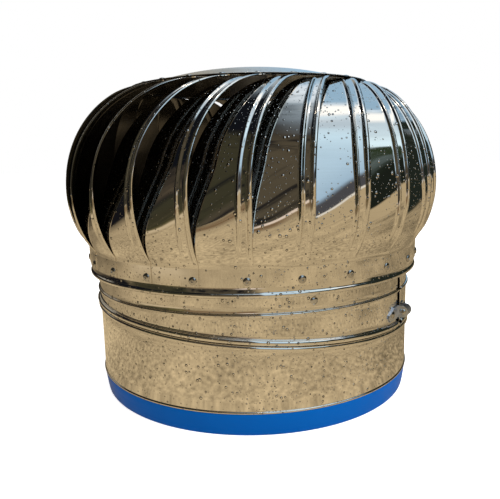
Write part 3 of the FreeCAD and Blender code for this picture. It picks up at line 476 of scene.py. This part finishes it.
@dataclass(frozen=True)
class SteelFinish:
    """Mirror-polished or plated steel sheet, with rain drops ringed by painted shade, faint waves and wiped
    haze.
    """

    name: str
    tint: Colour
    dull_tint: Colour
    # Near-black painted into the drop rims: painted shade.
    drop_rim_painted_shade: Colour = (0.05, 0.045, 0.05)
    roughness: float = 0.04
    haze: float = 0.05
    drop_share: float = 0.0
    drop_height: float = 0.6
    ripple: float = 0.25
    ripple_scale: float = 14.0

    def build(self, effects: Effects) -> bpy.types.Material:
        """Make the material."""
        material, tree, shader = new_material(self.name)
        where = tree.add("ShaderNodeTexCoord").outputs["Object"]
        smudge = tree.effect(effects.smudge, where, Scale=30.0)
        drops = tree.effect(effects.droplets, where, Scale=230.0, Size=0.32, Share=self.drop_share)
        fine = tree.effect(effects.droplets, where, Scale=430.0, Size=0.30, Share=self.drop_share * 0.8)
        wave = tree.effect(effects.ripple, where, Scale=self.ripple_scale)
        wiped = tree.mix(self.tint, self.dull_tint, tree.times(smudge["Streak"], smudge["Haze"]))
        # Drop rims darken the steel's colour: painted shade.
        painted_drop_shades = tree.math("MAXIMUM", drops["Rim"], tree.times(fine["Rim"], 0.8))
        rough = tree.math("ADD", tree.times(smudge["Haze"], self.haze), self.roughness - self.haze / 3)
        heights = tree.math("ADD", drops["Height"], tree.times(fine["Height"], 0.4))
        ripple = tree.add("ShaderNodeBump", Strength=self.ripple, Distance=4 * MM, Height=wave["Height"])
        bump = tree.add("ShaderNodeBump", Strength=self.drop_height, Distance=6 * MM, Height=heights,
                        Normal=ripple.outputs["Normal"])
        tree.dress(shader, Metallic=1.0, Base_Color=tree.mix(wiped, self.drop_rim_painted_shade, tree.times(painted_drop_shades, 0.9)),
                   Roughness=tree.math("MAXIMUM", rough, 0.01), Normal=bump.outputs["Normal"])
        return material


@dataclass(frozen=True)
class PlasticFinish:
    """Glossy moulded plastic with fine scuffs."""

    name: str
    colour: Colour
    worn: Colour
    roughness: float = 0.35

    def build(self, effects: Effects) -> bpy.types.Material:
        """Make the material."""
        material, tree, shader = new_material(self.name)
        where = tree.add("ShaderNodeTexCoord").outputs["Object"]
        smudge = tree.effect(effects.smudge, where, Scale=18.0)
        rough = tree.math("ADD", tree.times(smudge["Streak"], 0.16), self.roughness - 0.08)
        bump = tree.add("ShaderNodeBump", Strength=0.12, Distance=1 * MM, Height=smudge["Streak"])
        tinted = tree.mix(self.colour, self.worn, smudge["Haze"])
        tree.dress(shader, Specular_IOR_Level=0.05, Base_Color=tinted, Roughness=rough,
                   Normal=bump.outputs["Normal"])
        return material


class Finishes:
    """Every material of the cap."""

    def __init__(self) -> None:
        """Build the shared effects, then each finish."""
        effects = Effects()
        every = (
            SteelFinish("mirror_steel", (0.88, 0.86, 0.83), (0.72, 0.69, 0.64), drop_share=1.3),
            # shaded_steel is near-black: painted shade for the sheets' inner faces, which are the same
            # polished steel.
            SteelFinish("shaded_steel", (0.11, 0.105, 0.10), (0.04, 0.038, 0.035), roughness=0.22, haze=0.15),
            SteelFinish("zinc_plate", (0.76, 0.82, 0.95), (0.44, 0.49, 0.60), roughness=0.30, haze=0.25,
                        drop_share=0.15, ripple=0.05),
            SteelFinish("fastener_steel", (0.62, 0.61, 0.60), (0.36, 0.35, 0.34), roughness=0.12, haze=0.1,
                        ripple=0.0),
            SteelFinish("bearing_steel", (0.62, 0.63, 0.65), (0.5, 0.5, 0.52), roughness=0.12, haze=0.1,
                        ripple=0.0),
            SteelFinish("brass_cage", (0.72, 0.53, 0.22), (0.5, 0.36, 0.15), roughness=0.25, haze=0.15,
                        ripple=0.0),
            PlasticFinish("blue_collar", (0.0, 0.10, 0.40), (0.0, 0.12, 0.47)))
        self.by_slot = {finish.name: finish.build(effects) for finish in every}
        self.mirror = self.by_slot["mirror_steel"]
        # Near-black steel for the inner faces: painted shade.
        self.painted_shade_lining = self.by_slot["shaded_steel"]
        self.fastener = self.by_slot["fastener_steel"]
        self.blue = self.by_slot["blue_collar"]

    def dress_frame(self, frame: dict) -> None:
        """Give every CAD node the material of its slot in the record."""
        for entry in frame["record"]["subparts"]:
            node = frame["nodes"][entry["node"]]
            node.data.materials.clear()
            node.data.materials.append(self.by_slot[entry["material_slot"]])


@dataclass
class Base:
    """Blue collar and lower throat, which stay on the duct."""

    bore: float = 145 * MM
    foot_radius: float = 148 * MM
    flare: float = 0.6 * MM
    collar_height: float = 19 * MM
    spigot_top: float = 45 * MM
    spigot_gap: float = 0.3 * MM
    foot_bead: float = 0.9 * MM
    seam_bead: float = 2.1 * MM
    bead_stand: float = 0.2 * MM
    seam_gap: float = 0.15 * MM
    sleeve_inset: float = 1.8 * MM
    sleeve_height: float = 10 * MM
    level_below: float = 24 * MM
    tilted_above: float = 66 * MM

    def build(self, finishes: Finishes) -> None:
        """Make both pieces."""
        self.build_collar(finishes)
        self.build_throat(finishes)

    def build_collar(self, finishes: Finishes) -> None:
        """Moulded ring: a flared band under the throat and a spigot inside it, its edges rounded."""
        outer = SHEET.throat_radius + self.flare
        spigot = SHEET.throat_radius - SHEET.gauge - self.spigot_gap
        soft = 0.8 * MM
        section = arc((self.bore + soft, soft), soft, 180, 270, 4)
        section += arc((self.foot_radius - 1.5 * soft, 1.5 * soft), 1.5 * soft, 270, 352, 6)
        section += [(self.foot_radius + (outer - self.foot_radius) * share, self.collar_height * share)
                    for share in (0.25, 0.5, 0.75)]
        section += arc((outer - soft / 2, self.collar_height - soft / 2), soft / 2, 0, 90, 4)
        section += [(spigot, self.collar_height)]
        section += arc((spigot - soft, self.spigot_top - soft), soft, 0, 90, 4)
        section += arc((self.bore + soft, self.spigot_top - soft), soft, 90, 180, 4)
        collar = spun("base_collar_moulded", section, steps=216, closed=True)
        collar.data.materials.append(finishes.blue)
        apply_all(collar, Shade.CREASED)
        install(collar, "base", "blue_collar", "base_collar")

    def build_throat(self, finishes: Finishes) -> None:
        """Sheet from its rolled foot up the wall, round the seam's bead and in to the swivel sleeve."""
        radius = SHEET.throat_radius
        foot = self.collar_height + 0.03 * MM
        seam = SHEET.seam_height
        bead_height = seam - self.seam_gap - self.seam_bead
        sleeve = radius - SHEET.gauge - self.sleeve_inset
        section = arc((radius + 0.1 * MM, foot + self.foot_bead), self.foot_bead, -165, 92, 10)
        section += wall(radius, foot + 2 * self.foot_bead + 0.5 * MM,
                        bead_height - self.seam_bead - 0.4 * MM, 9)
        section += arc((radius + self.bead_stand, bead_height), self.seam_bead, -98, 128, 16)
        section += [(sleeve + 0.6 * MM, seam - 0.1 * MM), (sleeve, seam + 0.8 * MM),
                    (sleeve, seam + self.sleeve_height)]
        throat = spun("lower_throat_rolled", section, steps=240)
        face_outwards(throat)
        tilt_seam(throat, self.level_below, self.tilted_above)
        finish_sheet(throat, finishes)
        install(throat, "base", "mirror_steel", "lower_throat")


@dataclass
class Neck:
    """Split upper throat, which turns on the tilted seam."""

    top: float = 128 * MM
    seam_bead: float = 2.4 * MM
    bead_stand: float = 0.5 * MM
    seam_gap: float = 0.15 * MM
    band_bead: float = 1.2 * MM
    band_height: float = 98.5 * MM
    split_azimuth: float = 58.5
    split_top: float = 113 * MM
    split_columns: int = 236
    level_above: float = 97 * MM
    tilted_below: float = 80.3 * MM

    def build(self, finishes: Finishes) -> None:
        """Make the split throat."""
        radius = SHEET.throat_radius
        bead_height = SHEET.seam_height + self.seam_gap + self.seam_bead
        band = radius - SHEET.gauge + self.band_bead
        section = arc((radius + self.bead_stand, bead_height), self.seam_bead, -150, 98, 16)
        section += wall(radius, bead_height + self.seam_bead + 0.4 * MM, self.band_height - 1.7 * MM, 7)
        section += arc((band, self.band_height), self.band_bead, -112, 112, 10)
        section += wall(radius, self.band_height + 1.7 * MM, self.top, 6)
        throat = spun("upper_throat_rolled", section, steps=self.split_columns, azimuth=self.split_azimuth)
        face_outwards(throat)
        tilt_seam(throat, self.level_above, self.tilted_below)
        self.cut_split(throat)
        finish_sheet(throat, finishes)
        install(throat, "neck", "mirror_steel", "upper_throat")

    def cut_split(self, throat: Object) -> None:
        """Delete the two columns of faces at the split, up to its top."""
        turn = math.radians(self.split_azimuth)
        direction = Vector((math.sin(turn), -math.cos(turn)))
        nearness = math.cos(FULL_TURN / self.split_columns)
        delete_where(throat, "FACE", lambda face: face.center.z < self.split_top
                     and face.center.xy.normalized().dot(direction) > nearness)


@dataclass
class Vane:
    """Form of one louvred vane: a sheet that rises from the ring and crowns over to the top plate."""

    foot: float = 122 * MM
    equator_radius: float = 173.6 * MM
    equator_height: float = 190 * MM
    section: float = 90 * MM
    lean: float = math.radians(30.0)
    lap: float = math.radians(3.4)
    full_width: float = 54 * MM
    taper: float = 0.58
    taper_ease: float = 0.0017 / MM
    blend: float = 80 * MM
    rib_rise: float = 1.5 * MM
    rib_width: float = 4.2 * MM
    first_rib: float = 2.2 * MM
    second_rib: float = 10.4 * MM
    second_rib_lift: float = 10 * MM
    rib_growth: float = 12 * MM
    rib_end: float = 80 * MM
    rib_fade: float = 25 * MM
    end: float = 3 * MM
    trim: float = 103 * MM

    def __post_init__(self) -> None:
        """Work out what follows from the sizes."""
        self.tab_radius = SHEET.ring_radius + 2 * SHEET.lap + 2 * SHEET.gauge
        inset = self.tab_radius - (self.equator_radius - self.section)
        self.tab_top = self.equator_height - math.sqrt(self.section ** 2 - inset ** 2)
        self.arc = FULL_TURN / SHEET.hem_count + self.lap
        self.rise = self.equator_height - self.foot
        self.crown = self.section * math.pi / 2
        self.length = self.rise + self.crown + self.end

    def hem(self, along: float) -> tuple[Vector, float]:
        """Place of the hem at a length along it, and how far it has leaned in."""
        if along <= self.rise:
            up = self.foot + along
            if up < self.tab_top:
                return Vector((0, -self.tab_radius, up)), 0.0
            out = self.equator_radius - self.section
            out += math.sqrt(self.section ** 2 - (self.equator_height - up) ** 2)
            return Vector((0, -out, up)), 0.0
        angle = min((along - self.rise) / self.section, math.pi / 2)
        inward = self.section * (1 - math.cos(angle)) + max(0.0, along - self.rise - self.crown)
        return Vector((inward * math.sin(self.lean), inward * math.cos(self.lean) - self.equator_radius,
                       self.equator_height + self.section * math.sin(angle))), inward

    def width(self, along: float) -> float:
        """Width of the sheet across from the hem."""
        place, inward = self.hem(along)
        if inward > 0:
            return self.full_width - self.taper * inward + self.taper_ease * inward ** 2
        ring_width = self.arc * self.tab_radius
        share = clamp01((place.z - self.tab_top) / (self.equator_height - self.tab_top))
        return ring_width + (self.full_width - ring_width) * share

    def plain(self, along: float, across: float) -> Vector:
        """Point of the smooth face, round the ring at its foot and straight across higher up."""
        place, _ = self.hem(along)
        rise = clamp01((place.z - self.tab_top) / self.blend)
        share = rise ** 2 * (3 - 2 * rise)
        straight = place + Vector((-math.cos(self.lean), math.sin(self.lean), 0)) * across
        if share >= 1.0:
            return straight
        reach = math.hypot(place.x, place.y)
        turn = math.atan2(place.x, -place.y) - across / reach
        radius = reach - (SHEET.gauge + SHEET.lap) * across / self.width(along)
        curved = Vector((radius * math.sin(turn), -radius * math.cos(turn), place.z))
        return curved * (1 - share) + straight * share

    def normal(self, along: float, across: float) -> Vector:
        """Outward direction of the smooth face."""
        small = 0.05 * MM
        up = self.plain(along + small, across) - self.plain(along - small, across)
        left = self.plain(along, across + small) - self.plain(along, across - small)
        return up.cross(left).normalized()

    def ribs(self, along: float, across: float) -> float:
        """Rise of the two pressed ribs beside the hem: the first rolls over at the hem itself."""
        place, inward = self.hem(along)
        top_fade = clamp01((self.rib_end - inward) / self.rib_fade)
        rise = 0.0
        for centre, start in ((self.first_rib, self.tab_top),
                              (self.second_rib, self.tab_top + self.second_rib_lift)):
            offset = abs(across - centre) / (self.rib_width / 2)
            fade = clamp01((place.z - start) / self.rib_growth) * top_fade
            if across < centre == self.first_rib:
                rise += self.rib_rise * fade * math.sqrt(1 - (1 - across / centre) ** 2)
            elif offset < 1:
                rise += self.rib_rise * fade * math.cos(offset * math.pi / 2) ** 2
        return rise

    def columns(self) -> list[float]:
        """Distances from the hem of the columns over the ribs, closest where the hem rolls over."""
        rolled = [self.first_rib * (1 - math.cos(math.pi * i / 12)) for i in range(7)]
        half = self.rib_width / 2
        rolled += [self.first_rib + half * share for share in (0.2, 0.4, 0.6, 0.8, 1.0, 1.6)]
        return rolled + [self.second_rib + half * share for share in
                         (-1.4, -1.0, -0.8, -0.6, -0.4, -0.2, 0.0, 0.2, 0.4, 0.6, 0.8, 1.0, 1.5)]

    def sheet(self, name: str, open_columns: int, rows: int) -> Object:
        """A grid pressed into the vane's form.

        Args:
            name: The new object's name.
            open_columns: Faces across the open sheet beyond the ribs.
            rows: Faces along it.

        Returns:
            The pressed sheet with its hem at azimuth 0.
        """
        ribbed = self.columns()
        columns = len(ribbed) - 1 + open_columns
        bpy.ops.mesh.primitive_grid_add(x_subdivisions=columns, y_subdivisions=rows, size=1.0)
        piece = named(name)
        for vertex in piece.data.vertices:
            along = self.length * (vertex.co.y + 0.5)
            column = round((0.5 - vertex.co.x) * columns)
            across = ribbed[min(column, len(ribbed) - 1)]
            across += (self.width(along) - across) * max(0, column - len(ribbed) + 1) / open_columns
            vertex.co = self.plain(along, across) + self.normal(along, across) * self.ribs(along, across)
        self.trim_tip(piece)
        return piece

    def trim_tip(self, piece: Object) -> None:
        """Pull the tip's inner corner out to the trimmed edge under the top plate."""
        for vertex in piece.data.vertices:
            reach = math.hypot(vertex.co.x, vertex.co.y)
            if reach < self.trim:
                vertex.co.x *= self.trim / reach
                vertex.co.y *= self.trim / reach


@dataclass
class Rotor:
    """Ring, vanes, top plate and rivets, which spin in the wind."""

    ring_foot: float = 115.4 * MM
    ring_top: float = 138 * MM
    ring_bead: float = 2.2 * MM
    plate_radius: float = 112 * MM
    plate_height: float = 280.2 * MM
    plate_rim: float = 101 * MM
    plate_land: float = 33 * MM
    plate_rise: float = 14.4 * MM
    plate_sag: float = 0.16
    plate_thinning: float = 0.8
    cap_radius: float = 12 * MM
    cap_rise: float = 2.2 * MM
    cap_stem: float = 5 * MM
    rivet_head: float = 3.2 * MM
    rivet_rise: float = 1.2 * MM
    rivet_height: float = 126.7 * MM
    rivet_inset: float = 4.8 * MM
    top_rivet_radius: float = 107.5 * MM
    top_rivet_lead: float = 19.0

    def build(self, finishes: Finishes) -> None:
        """Make every piece."""
        for step in (self.build_ring, self.build_vanes, self.build_plate, self.build_cap, self.build_rivets):
            step(finishes)

    def build_ring(self, finishes: Finishes) -> None:
        """Upright band with a rolled rim."""
        radius = SHEET.ring_radius
        section = arc((radius - SHEET.gauge - 0.2 * MM, self.ring_foot), self.ring_bead, -175, 62, 16)
        section += wall(radius, self.ring_foot + self.ring_bead + 0.4 * MM, self.ring_top, 4)
        ring = spun("rotor_ring_rolled", section, steps=240)
        face_outwards(ring)
        finish_sheet(ring, finishes)
        install(ring, "rotor", "mirror_steel", "rotor_ring")

    def build_vanes(self, finishes: Finishes) -> None:
        """One pressed vane, copied round the ring."""
        master = Vane().sheet("vane_master", 11, 78)
        face_outwards(master)
        finish_sheet(master, finishes, shade=Shade.CREASED)
        for i in range(SHEET.hem_count):
            turn = math.radians(SHEET.hem_azimuth) + FULL_TURN * i / SHEET.hem_count
            vane = copied(master, "louvre_%02d" % (i + 1), Matrix.Rotation(turn, 4, "Z"))
            install(vane, "rotor", "mirror_steel", "vane_%02d" % (i + 1))
        bpy.data.objects.remove(master)

    def build_plate(self, finishes: Finishes) -> None:
        """Domed disc: a level rim, a crown and a flat land."""
        low = self.plate_height + SHEET.gauge
        high = low + self.plate_rise
        run = self.plate_rim - self.plate_land
        chord = math.hypot(run, self.plate_rise)
        sag = self.plate_rise * self.plate_sag
        radius = (chord ** 2 / 4 + sag ** 2) / (2 * sag)
        slope = math.atan2(self.plate_rise, run)
        middle = ((self.plate_rim + self.plate_land) / 2, (low + high) / 2)
        depth = radius - sag
        centre = (middle[0] - depth * math.sin(slope), middle[1] - depth * math.cos(slope))
        half = math.degrees(math.asin(chord / 2 / radius))
        tilt = 90 - math.degrees(slope)
        edge = 0.3 * MM
        section = [(self.plate_radius - edge, low - SHEET.gauge * 0.9), (self.plate_radius, low - edge)]
        section += [(self.plate_radius - edge, low)]
        section += arc(centre, radius, tilt - half, tilt + half, 18)
        section += [(self.plate_land - 4 * MM, high), (self.cap_stem + 2 * MM, high), (self.cap_stem, high)]
        plate = spun("top_plate_domed", section, steps=192)
        if sum(face.normal.z * face.area for face in plate.data.polygons) < 0:
            flip(plate)
        finish_sheet(plate, finishes, SHEET.gauge * self.plate_thinning)
        install(plate, "rotor", "mirror_steel", "top_plate")

    def build_cap(self, finishes: Finishes) -> None:
        """Low dome plugged into the plate's centre."""
        land = self.plate_height + SHEET.gauge + self.plate_rise
        rim = land + 0.6 * MM
        stem = self.cap_stem - 0.1 * MM
        section = [(0.05 * MM, land - SHEET.gauge), (stem, land - SHEET.gauge), (stem, land + 0.02 * MM)]
        section += [(self.cap_radius - 0.3 * MM, land + 0.02 * MM)]
        section += arc((self.cap_radius - 0.6 * MM, rim), 0.6 * MM, -60, 50, 5)
        section += [(self.cap_radius * share, rim + (self.cap_rise - 0.6 * MM) * (1 - share ** 2.2))
                    for share in (0.85, 0.7, 0.5, 0.3, 0.1, 0.01)]
        cap = spun("centre_cap_domed", section, steps=64, closed=True)
        cap.data.materials.append(finishes.mirror)
        apply_all(cap, Shade.CREASED)
        install(cap, "rotor", "mirror_steel", "centre_cap")

    def rivet_section(self) -> Section:
        """Half section of a blind rivet's head: a low dome with a dimple where its stem broke off."""
        head, rise = self.rivet_head, self.rivet_rise
        return [(0.02 * MM, rise * 0.55), (0.7 * MM, rise * 0.5), (0.95 * MM, rise * 0.95), (1.4 * MM, rise),
                (head * 0.75, rise * 0.72), (head * 0.95, rise * 0.3), (head, 0.0), (head * 0.9, -0.2 * MM),
                (0.02 * MM, -0.2 * MM)]

    def build_rivets(self, finishes: Finishes) -> None:
        """Ring of rivets through the vane tabs, and a ring through the plate's rim."""
        head = spun("rivet_head", self.rivet_section(), steps=20)
        if max(head.data.polygons, key=lambda f: f.center.z).normal.z < 0:
            flip(head)
        head.data.materials.append(finishes.fastener)
        apply_all(head, Shade.CREASED)
        vane = Vane()
        lead = math.degrees(self.rivet_inset / vane.tab_radius)
        sideways = Matrix.Rotation(math.radians(90), 4, "X")
        lower, upper = [], []
        for i in range(SHEET.hem_count):
            azimuth = SHEET.hem_azimuth + 360.0 * i / SHEET.hem_count
            turn = Matrix.Rotation(math.radians(azimuth - lead), 4, "Z")
            stand = Matrix.Translation((0, -vane.tab_radius - 0.05 * MM, self.rivet_height))
            lower.append(copied(head, "lower_%02d" % i, turn @ stand @ sideways))
            turn = Matrix.Rotation(math.radians(azimuth + self.top_rivet_lead), 4, "Z")
            stand = Matrix.Translation((0, -self.top_rivet_radius, self.plate_height + SHEET.gauge))
            upper.append(copied(head, "upper_%02d" % i, turn @ stand))
        bpy.data.objects.remove(head)
        install(joined("tab_rivet_heads", lower), "rotor", "fastener_steel", "vane_lower_rivets")
        install(joined("plate_rivet_heads", upper), "rotor", "fastener_steel", "vane_upper_rivets")


class Sweep(Enum):
    """Pair of angles that bounds a patch of the surround."""

    ROUND = "azimuth and elevation"
    OVERHEAD = "angle sideways, and angle over the top from the front"


@dataclass(frozen=True)
class Patch:
    """One patch of the surround, in degrees, its colour as a mirror shows it.

    Its edges are soft sideways and fade up and down, ragged in their course, and mottle thins it in spots.
    """

    colour: Colour
    across: Limits
    upwards: Limits
    soft: float = 3.0
    fade: float = 2.0
    ragged: float = 4.0
    mottle: float = 0.0
    sweep: Sweep = Sweep.ROUND


@dataclass
class Surround:
    """A dome and a ground disc that only mirrors see, so that polished steel has something to reflect."""

    radius: float = 2.6
    centre: float = 190 * MM
    base: Colour = (0.006, 0.007, 0.010)
    ground: Colour = (0.50, 0.385, 0.225)
    ground_lift: float = 0.5 * MM
    ground_light: tuple[tuple[Limits, float], ...] = (((-40, 14), 0.10), ((60, 170), -0.26))
    patches: tuple[Patch, ...] = (
        Patch((0.34, 0.50, 0.67), (6, 140), (2, 92), ragged=2.0),
        Patch((0.70, 0.93, 1.08), (6, 140), (34, 96), fade=46.0, ragged=2.0),
        Patch((0.84, 1.06, 1.17), (34, 140), (2, 78), 12.0, 8.0),
        Patch((1.7, 1.8, 1.9), (80, 140), (12, 78), 24.0, 14.0),
        Patch((0.56, 0.68, 0.78), (-9, 38), (58, 177), 18.0, 10.0, mottle=0.8, sweep=Sweep.OVERHEAD),
        Patch((1.3, 1.32, 1.35), (-4, 9), (74, 126), 7.0, 14.0, mottle=0.6, sweep=Sweep.OVERHEAD),
        Patch((0.34, 0.53, 0.71), (0, 75), (92, 178), 16.0, 8.0, mottle=0.2, sweep=Sweep.OVERHEAD),
        Patch((0.36, 0.34, 0.29), (-60, 0), (138, 172), 16.0, 10.0, mottle=0.5, sweep=Sweep.OVERHEAD),
        Patch((1.25, 1.24, 1.20), (-4, 64), (78, 89), 10.0, 5.0, 3.0, 0.4, Sweep.OVERHEAD),
        Patch((14.0, 12.5, 10.0), (-2, 2), (79, 83), 1.0, 1.0, 0.0, 0.0, Sweep.OVERHEAD),
        Patch((0.045, 0.042, 0.024), (-80, -40), (-12, 48), 5.0, 6.0, mottle=1.5),
        Patch((0.12, 0.10, 0.035), (-72, -42), (-12, -6), 6.0, 4.0, 5.0, 1.2),
        Patch((0.090, 0.074, 0.048), (-42, 6), (-7, 56), 2.5, 26.0, mottle=1.7),
        Patch((0.075, 0.075, 0.082), (4, 36), (-5, 17), 2.0, 4.0, 5.0),
        Patch((0.030, 0.044, 0.022), (36, 125), (-5, 35), 3.0, ragged=9.0, mottle=0.5),
        Patch((0.012, 0.015, 0.011), (36, 150), (-5, 27), 2.0, 8.0, 7.0),
        Patch((0.016, 0.021, 0.016), (64, 150), (-5, 44), 3.0, 5.0, 14.0, 0.4),
        Patch((0.50, 0.385, 0.225), (2, 78), (-9, 5), 8.0, 1.5, 1.0),
        Patch((0.20, 0.125, 0.065), (-44, 2), (-10.5, -6), 6.0, 3.0, 4.0, 1.0),
        Patch((0.85, 0.70, 0.58), (-10, 4), (-5.5, -3.0), 8.0, 1.0, 2.0, 0.6),
        Patch((0.62, 0.49, 0.31), (-78, -40), (-14.5, -12.5), 14.0, 1.5, 3.0),
        Patch((0.85, 0.80, 0.70), (4, 34), (4.5, 6.5), 4.0, 1.0, 1.0),
        Patch((0.045, 0.04, 0.022), (-92, -56), (-11, 2), 4.0, 4.0, 6.0, 0.7),
        Patch((0.27, 0.205, 0.12), (-182, -92), (-24, 12), 24.0, 8.0, 10.0, 1.0),
        Patch((0.008, 0.008, 0.010), (-182, -88), (-11, 12), 5.0, 6.0, 5.0),
    )

    def build(self) -> None:
        """Make the dome and the ground."""
        section = [(self.radius * math.cos(math.radians(angle)), self.radius * math.sin(math.radians(angle)))
                   for angle in (-2, 8, 18, 28, 38, 48, 58, 68, 78, 86, 89.9)]
        dome = spun("surround_dome", section, steps=48)
        dome.data.materials.append(self.material("surround_dome", self.base))
        bpy.ops.mesh.primitive_circle_add(vertices=48, radius=self.radius, fill_type="NGON",
                                          location=(0, 0, self.ground_lift))
        disc = named("surround_ground")
        disc.data.materials.append(self.material("surround_ground", self.ground, sandy=True))
        for piece in (dome, disc):
            for ray in ("camera", "diffuse", "shadow", "transmission"):
                setattr(piece, "visible_" + ray, False)

    def material(self, name: str, base: Colour, sandy: bool = False) -> bpy.types.Material:
        """Emission whose colour follows the direction from the cap's middle, patch over patch.

        Args:
            name: The material's name.
            base: Colour where no patch lies.
            sandy: Whether pebbles and sand vary it.

        Returns:
            The new material.
        """
        material, tree, shader = new_material(name)
        material.node_tree.nodes.remove(shader)
        where = tree.add("ShaderNodeTexCoord").outputs["Object"]
        axes = tree.add("ShaderNodeSeparateXYZ", Vector=where).outputs
        side, height = axes["X"], tree.math("SUBTRACT", axes["Z"], self.centre)
        front = tree.times(axes["Y"], -1.0)
        away, level = tree.reach(height, front), tree.reach(side, front)
        angles = {Sweep.ROUND: (tree.degrees_of(side, front), tree.degrees_of(height, level)),
                  Sweep.OVERHEAD: (tree.degrees_of(side, away), tree.degrees_of(height, front))}
        ragged = self.centred_noise(tree, where, 1.6, 5.0)
        grain = self.centred_noise(tree, where, 4.0, 9.0)
        colour = base
        if sandy:
            fine = self.centred_noise(tree, where, 95.0, 5.0)
            light = tree.math("ADD", tree.times(grain, 1.4), tree.times(fine, 1.8))
            for limits, change in self.ground_light:
                sector = tree.window(angles[Sweep.ROUND][0], limits, 30.0)
                light = tree.math("ADD", light, tree.times(sector, change))
            dark, pale = (tuple(value * gain for value in base) for gain in (0.35, 1.65))
            colour = tree.mix(dark, pale, tree.math("ADD", light, 0.5, clamp=True))
        for patch in self.patches:
            shift = tree.times(ragged, 2 * patch.ragged)
            across, upwards = angles[patch.sweep]
            share = tree.times(tree.window(tree.math("ADD", across, shift), patch.across, patch.soft),
                               tree.window(tree.math("ADD", upwards, shift), patch.upwards, patch.fade))
            if patch.mottle:
                light = tree.math("ADD", tree.times(grain, 4 * patch.mottle), 1.0)
                light = tree.math("MINIMUM", tree.math("MAXIMUM", light, 0.1), 1.0)
                share = tree.times(share, light)
            colour = tree.mix(colour, patch.colour, share)
        emission = tree.add("ShaderNodeEmission", Color=colour, Strength=1.0)
        tree.dress(material.node_tree.nodes["Material Output"], Surface=emission.outputs[0])
        return material

    @staticmethod
    def centred_noise(tree: NodeTree, where: Socket, scale: float, detail: float) -> Socket:
        """Noise about 0."""
        noise = tree.add("ShaderNodeTexNoise", Vector=where, Scale=scale, Detail=detail, Roughness=0.6)
        return tree.math("SUBTRACT", noise.outputs[0], 0.5)


@dataclass
class Studio:
    """Camera at the photograph's view, pale floor, soft lamps and the surround that mirrors see."""

    lens: float = 40.56
    eye: tuple[float, float, float] = (0.0, -0.560, 0.2205)
    yaw: float = -0.236
    pitch: float = 9.836
    roll: float = -1.375

    def build(self) -> None:
        """Set up the whole stage."""
        self.add_camera()
        self.add_floor()
        self.add_world()
        self.add_lamps()
        Surround().build()
        bpy.context.scene.view_settings.view_transform = "Standard"

    def add_camera(self) -> None:
        """Camera that looks slightly down at the cap, with a small roll."""
        camera = bpy.data.cameras.new("camera")
        camera.lens = self.lens
        camera.sensor_width = 36.0
        camera.clip_start = 0.01
        yaw, pitch, roll = (math.radians(a) for a in (self.yaw, self.pitch, self.roll))
        ahead = Vector((math.sin(yaw) * math.cos(pitch), math.cos(yaw) * math.cos(pitch), -math.sin(pitch)))
        right = ahead.cross(Vector((0, 0, 1))).normalized()
        up = right.cross(ahead)
        rolled_right = right * math.cos(roll) + up * math.sin(roll)
        rolled_up = up * math.cos(roll) - right * math.sin(roll)
        holder = bpy.data.objects.new("camera", camera)
        turn = Matrix((rolled_right, rolled_up, -ahead)).transposed().to_4x4()
        holder.matrix_world = Matrix.Translation(self.eye) @ turn
        bpy.context.scene.collection.objects.link(holder)
        bpy.context.scene.camera = holder

    @staticmethod
    def add_floor() -> None:
        """Pale matt floor, which glows for the camera, but not inside the cap's bore, which stays dark."""
        bpy.ops.mesh.primitive_plane_add(size=14.0)
        floor = named("floor")
        material, tree, shader = new_material("pale_floor")
        where = tree.add("ShaderNodeTexCoord").outputs["Object"]
        axes = tree.add("ShaderNodeSeparateXYZ", Vector=where).outputs
        outside = tree.math("GREATER_THAN", tree.reach(axes["X"], axes["Y"]), Base.bore)
        glow = tree.times(tree.add("ShaderNodeLightPath").outputs["Is Camera Ray"], outside)
        tree.dress(shader, Base_Color=(0.93, 0.93, 0.93, 1.0), Roughness=0.9,
                   Emission_Color=(1.0, 1.0, 1.0, 1.0), Emission_Strength=tree.times(glow, 0.75))
        floor.data.materials.append(material)

    @staticmethod
    def add_world() -> None:
        """Even pale surroundings, white where the camera or a mirror looks at them."""
        world = bpy.data.worlds.new("studio")
        world.use_nodes = True
        bpy.context.scene.world = world
        tree = NodeTree(world.node_tree)
        path = tree.add("ShaderNodeLightPath").outputs
        seen = tree.math("MAXIMUM", path["Is Camera Ray"], path["Is Glossy Ray"])
        seen = tree.math("MAXIMUM", seen, path["Is Transmission Ray"])
        tree.dress(world.node_tree.nodes["Background"], Color=(1.0, 1.0, 1.0, 1.0),
                   Strength=tree.math("ADD", tree.times(seen, 0.65), 0.35))

    @staticmethod
    def add_lamps() -> None:
        """Three large soft lamps: a key on the right, a fill on the left and one overhead."""
        for name, place, size, power in (("key", (1.3, -1.2, 1.5), 0.9, 34.0),
                                         ("fill", (-1.5, -0.9, 1.0), 1.2, 3.0),
                                         ("top", (0.0, 0.2, 2.0), 1.4, 14.0)):
            lamp = bpy.data.lights.new(name, "AREA")
            lamp.shape = "DISK"
            lamp.size = size
            lamp.energy = power
            holder = bpy.data.objects.new(name, lamp)
            holder.location = place
            holder.visible_glossy = False
            aim = Vector((0, 0, 0.15)) - Vector(place)
            holder.rotation_euler = aim.to_track_quat("-Z", "Y").to_euler()
            bpy.context.scene.collection.objects.link(holder)


def main() -> None:
    """Load the frame, make each sub-assembly, dress it and set the stage."""
    logging.basicConfig(level=logging.INFO, format="%(name)s: %(message)s")
    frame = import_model()
    finishes = Finishes()
    finishes.dress_frame(frame)
    for assembly in (Base(), Neck(), Rotor()):
        assembly.build(finishes)
    Studio().build()


if __name__ == "__main__":
    main()
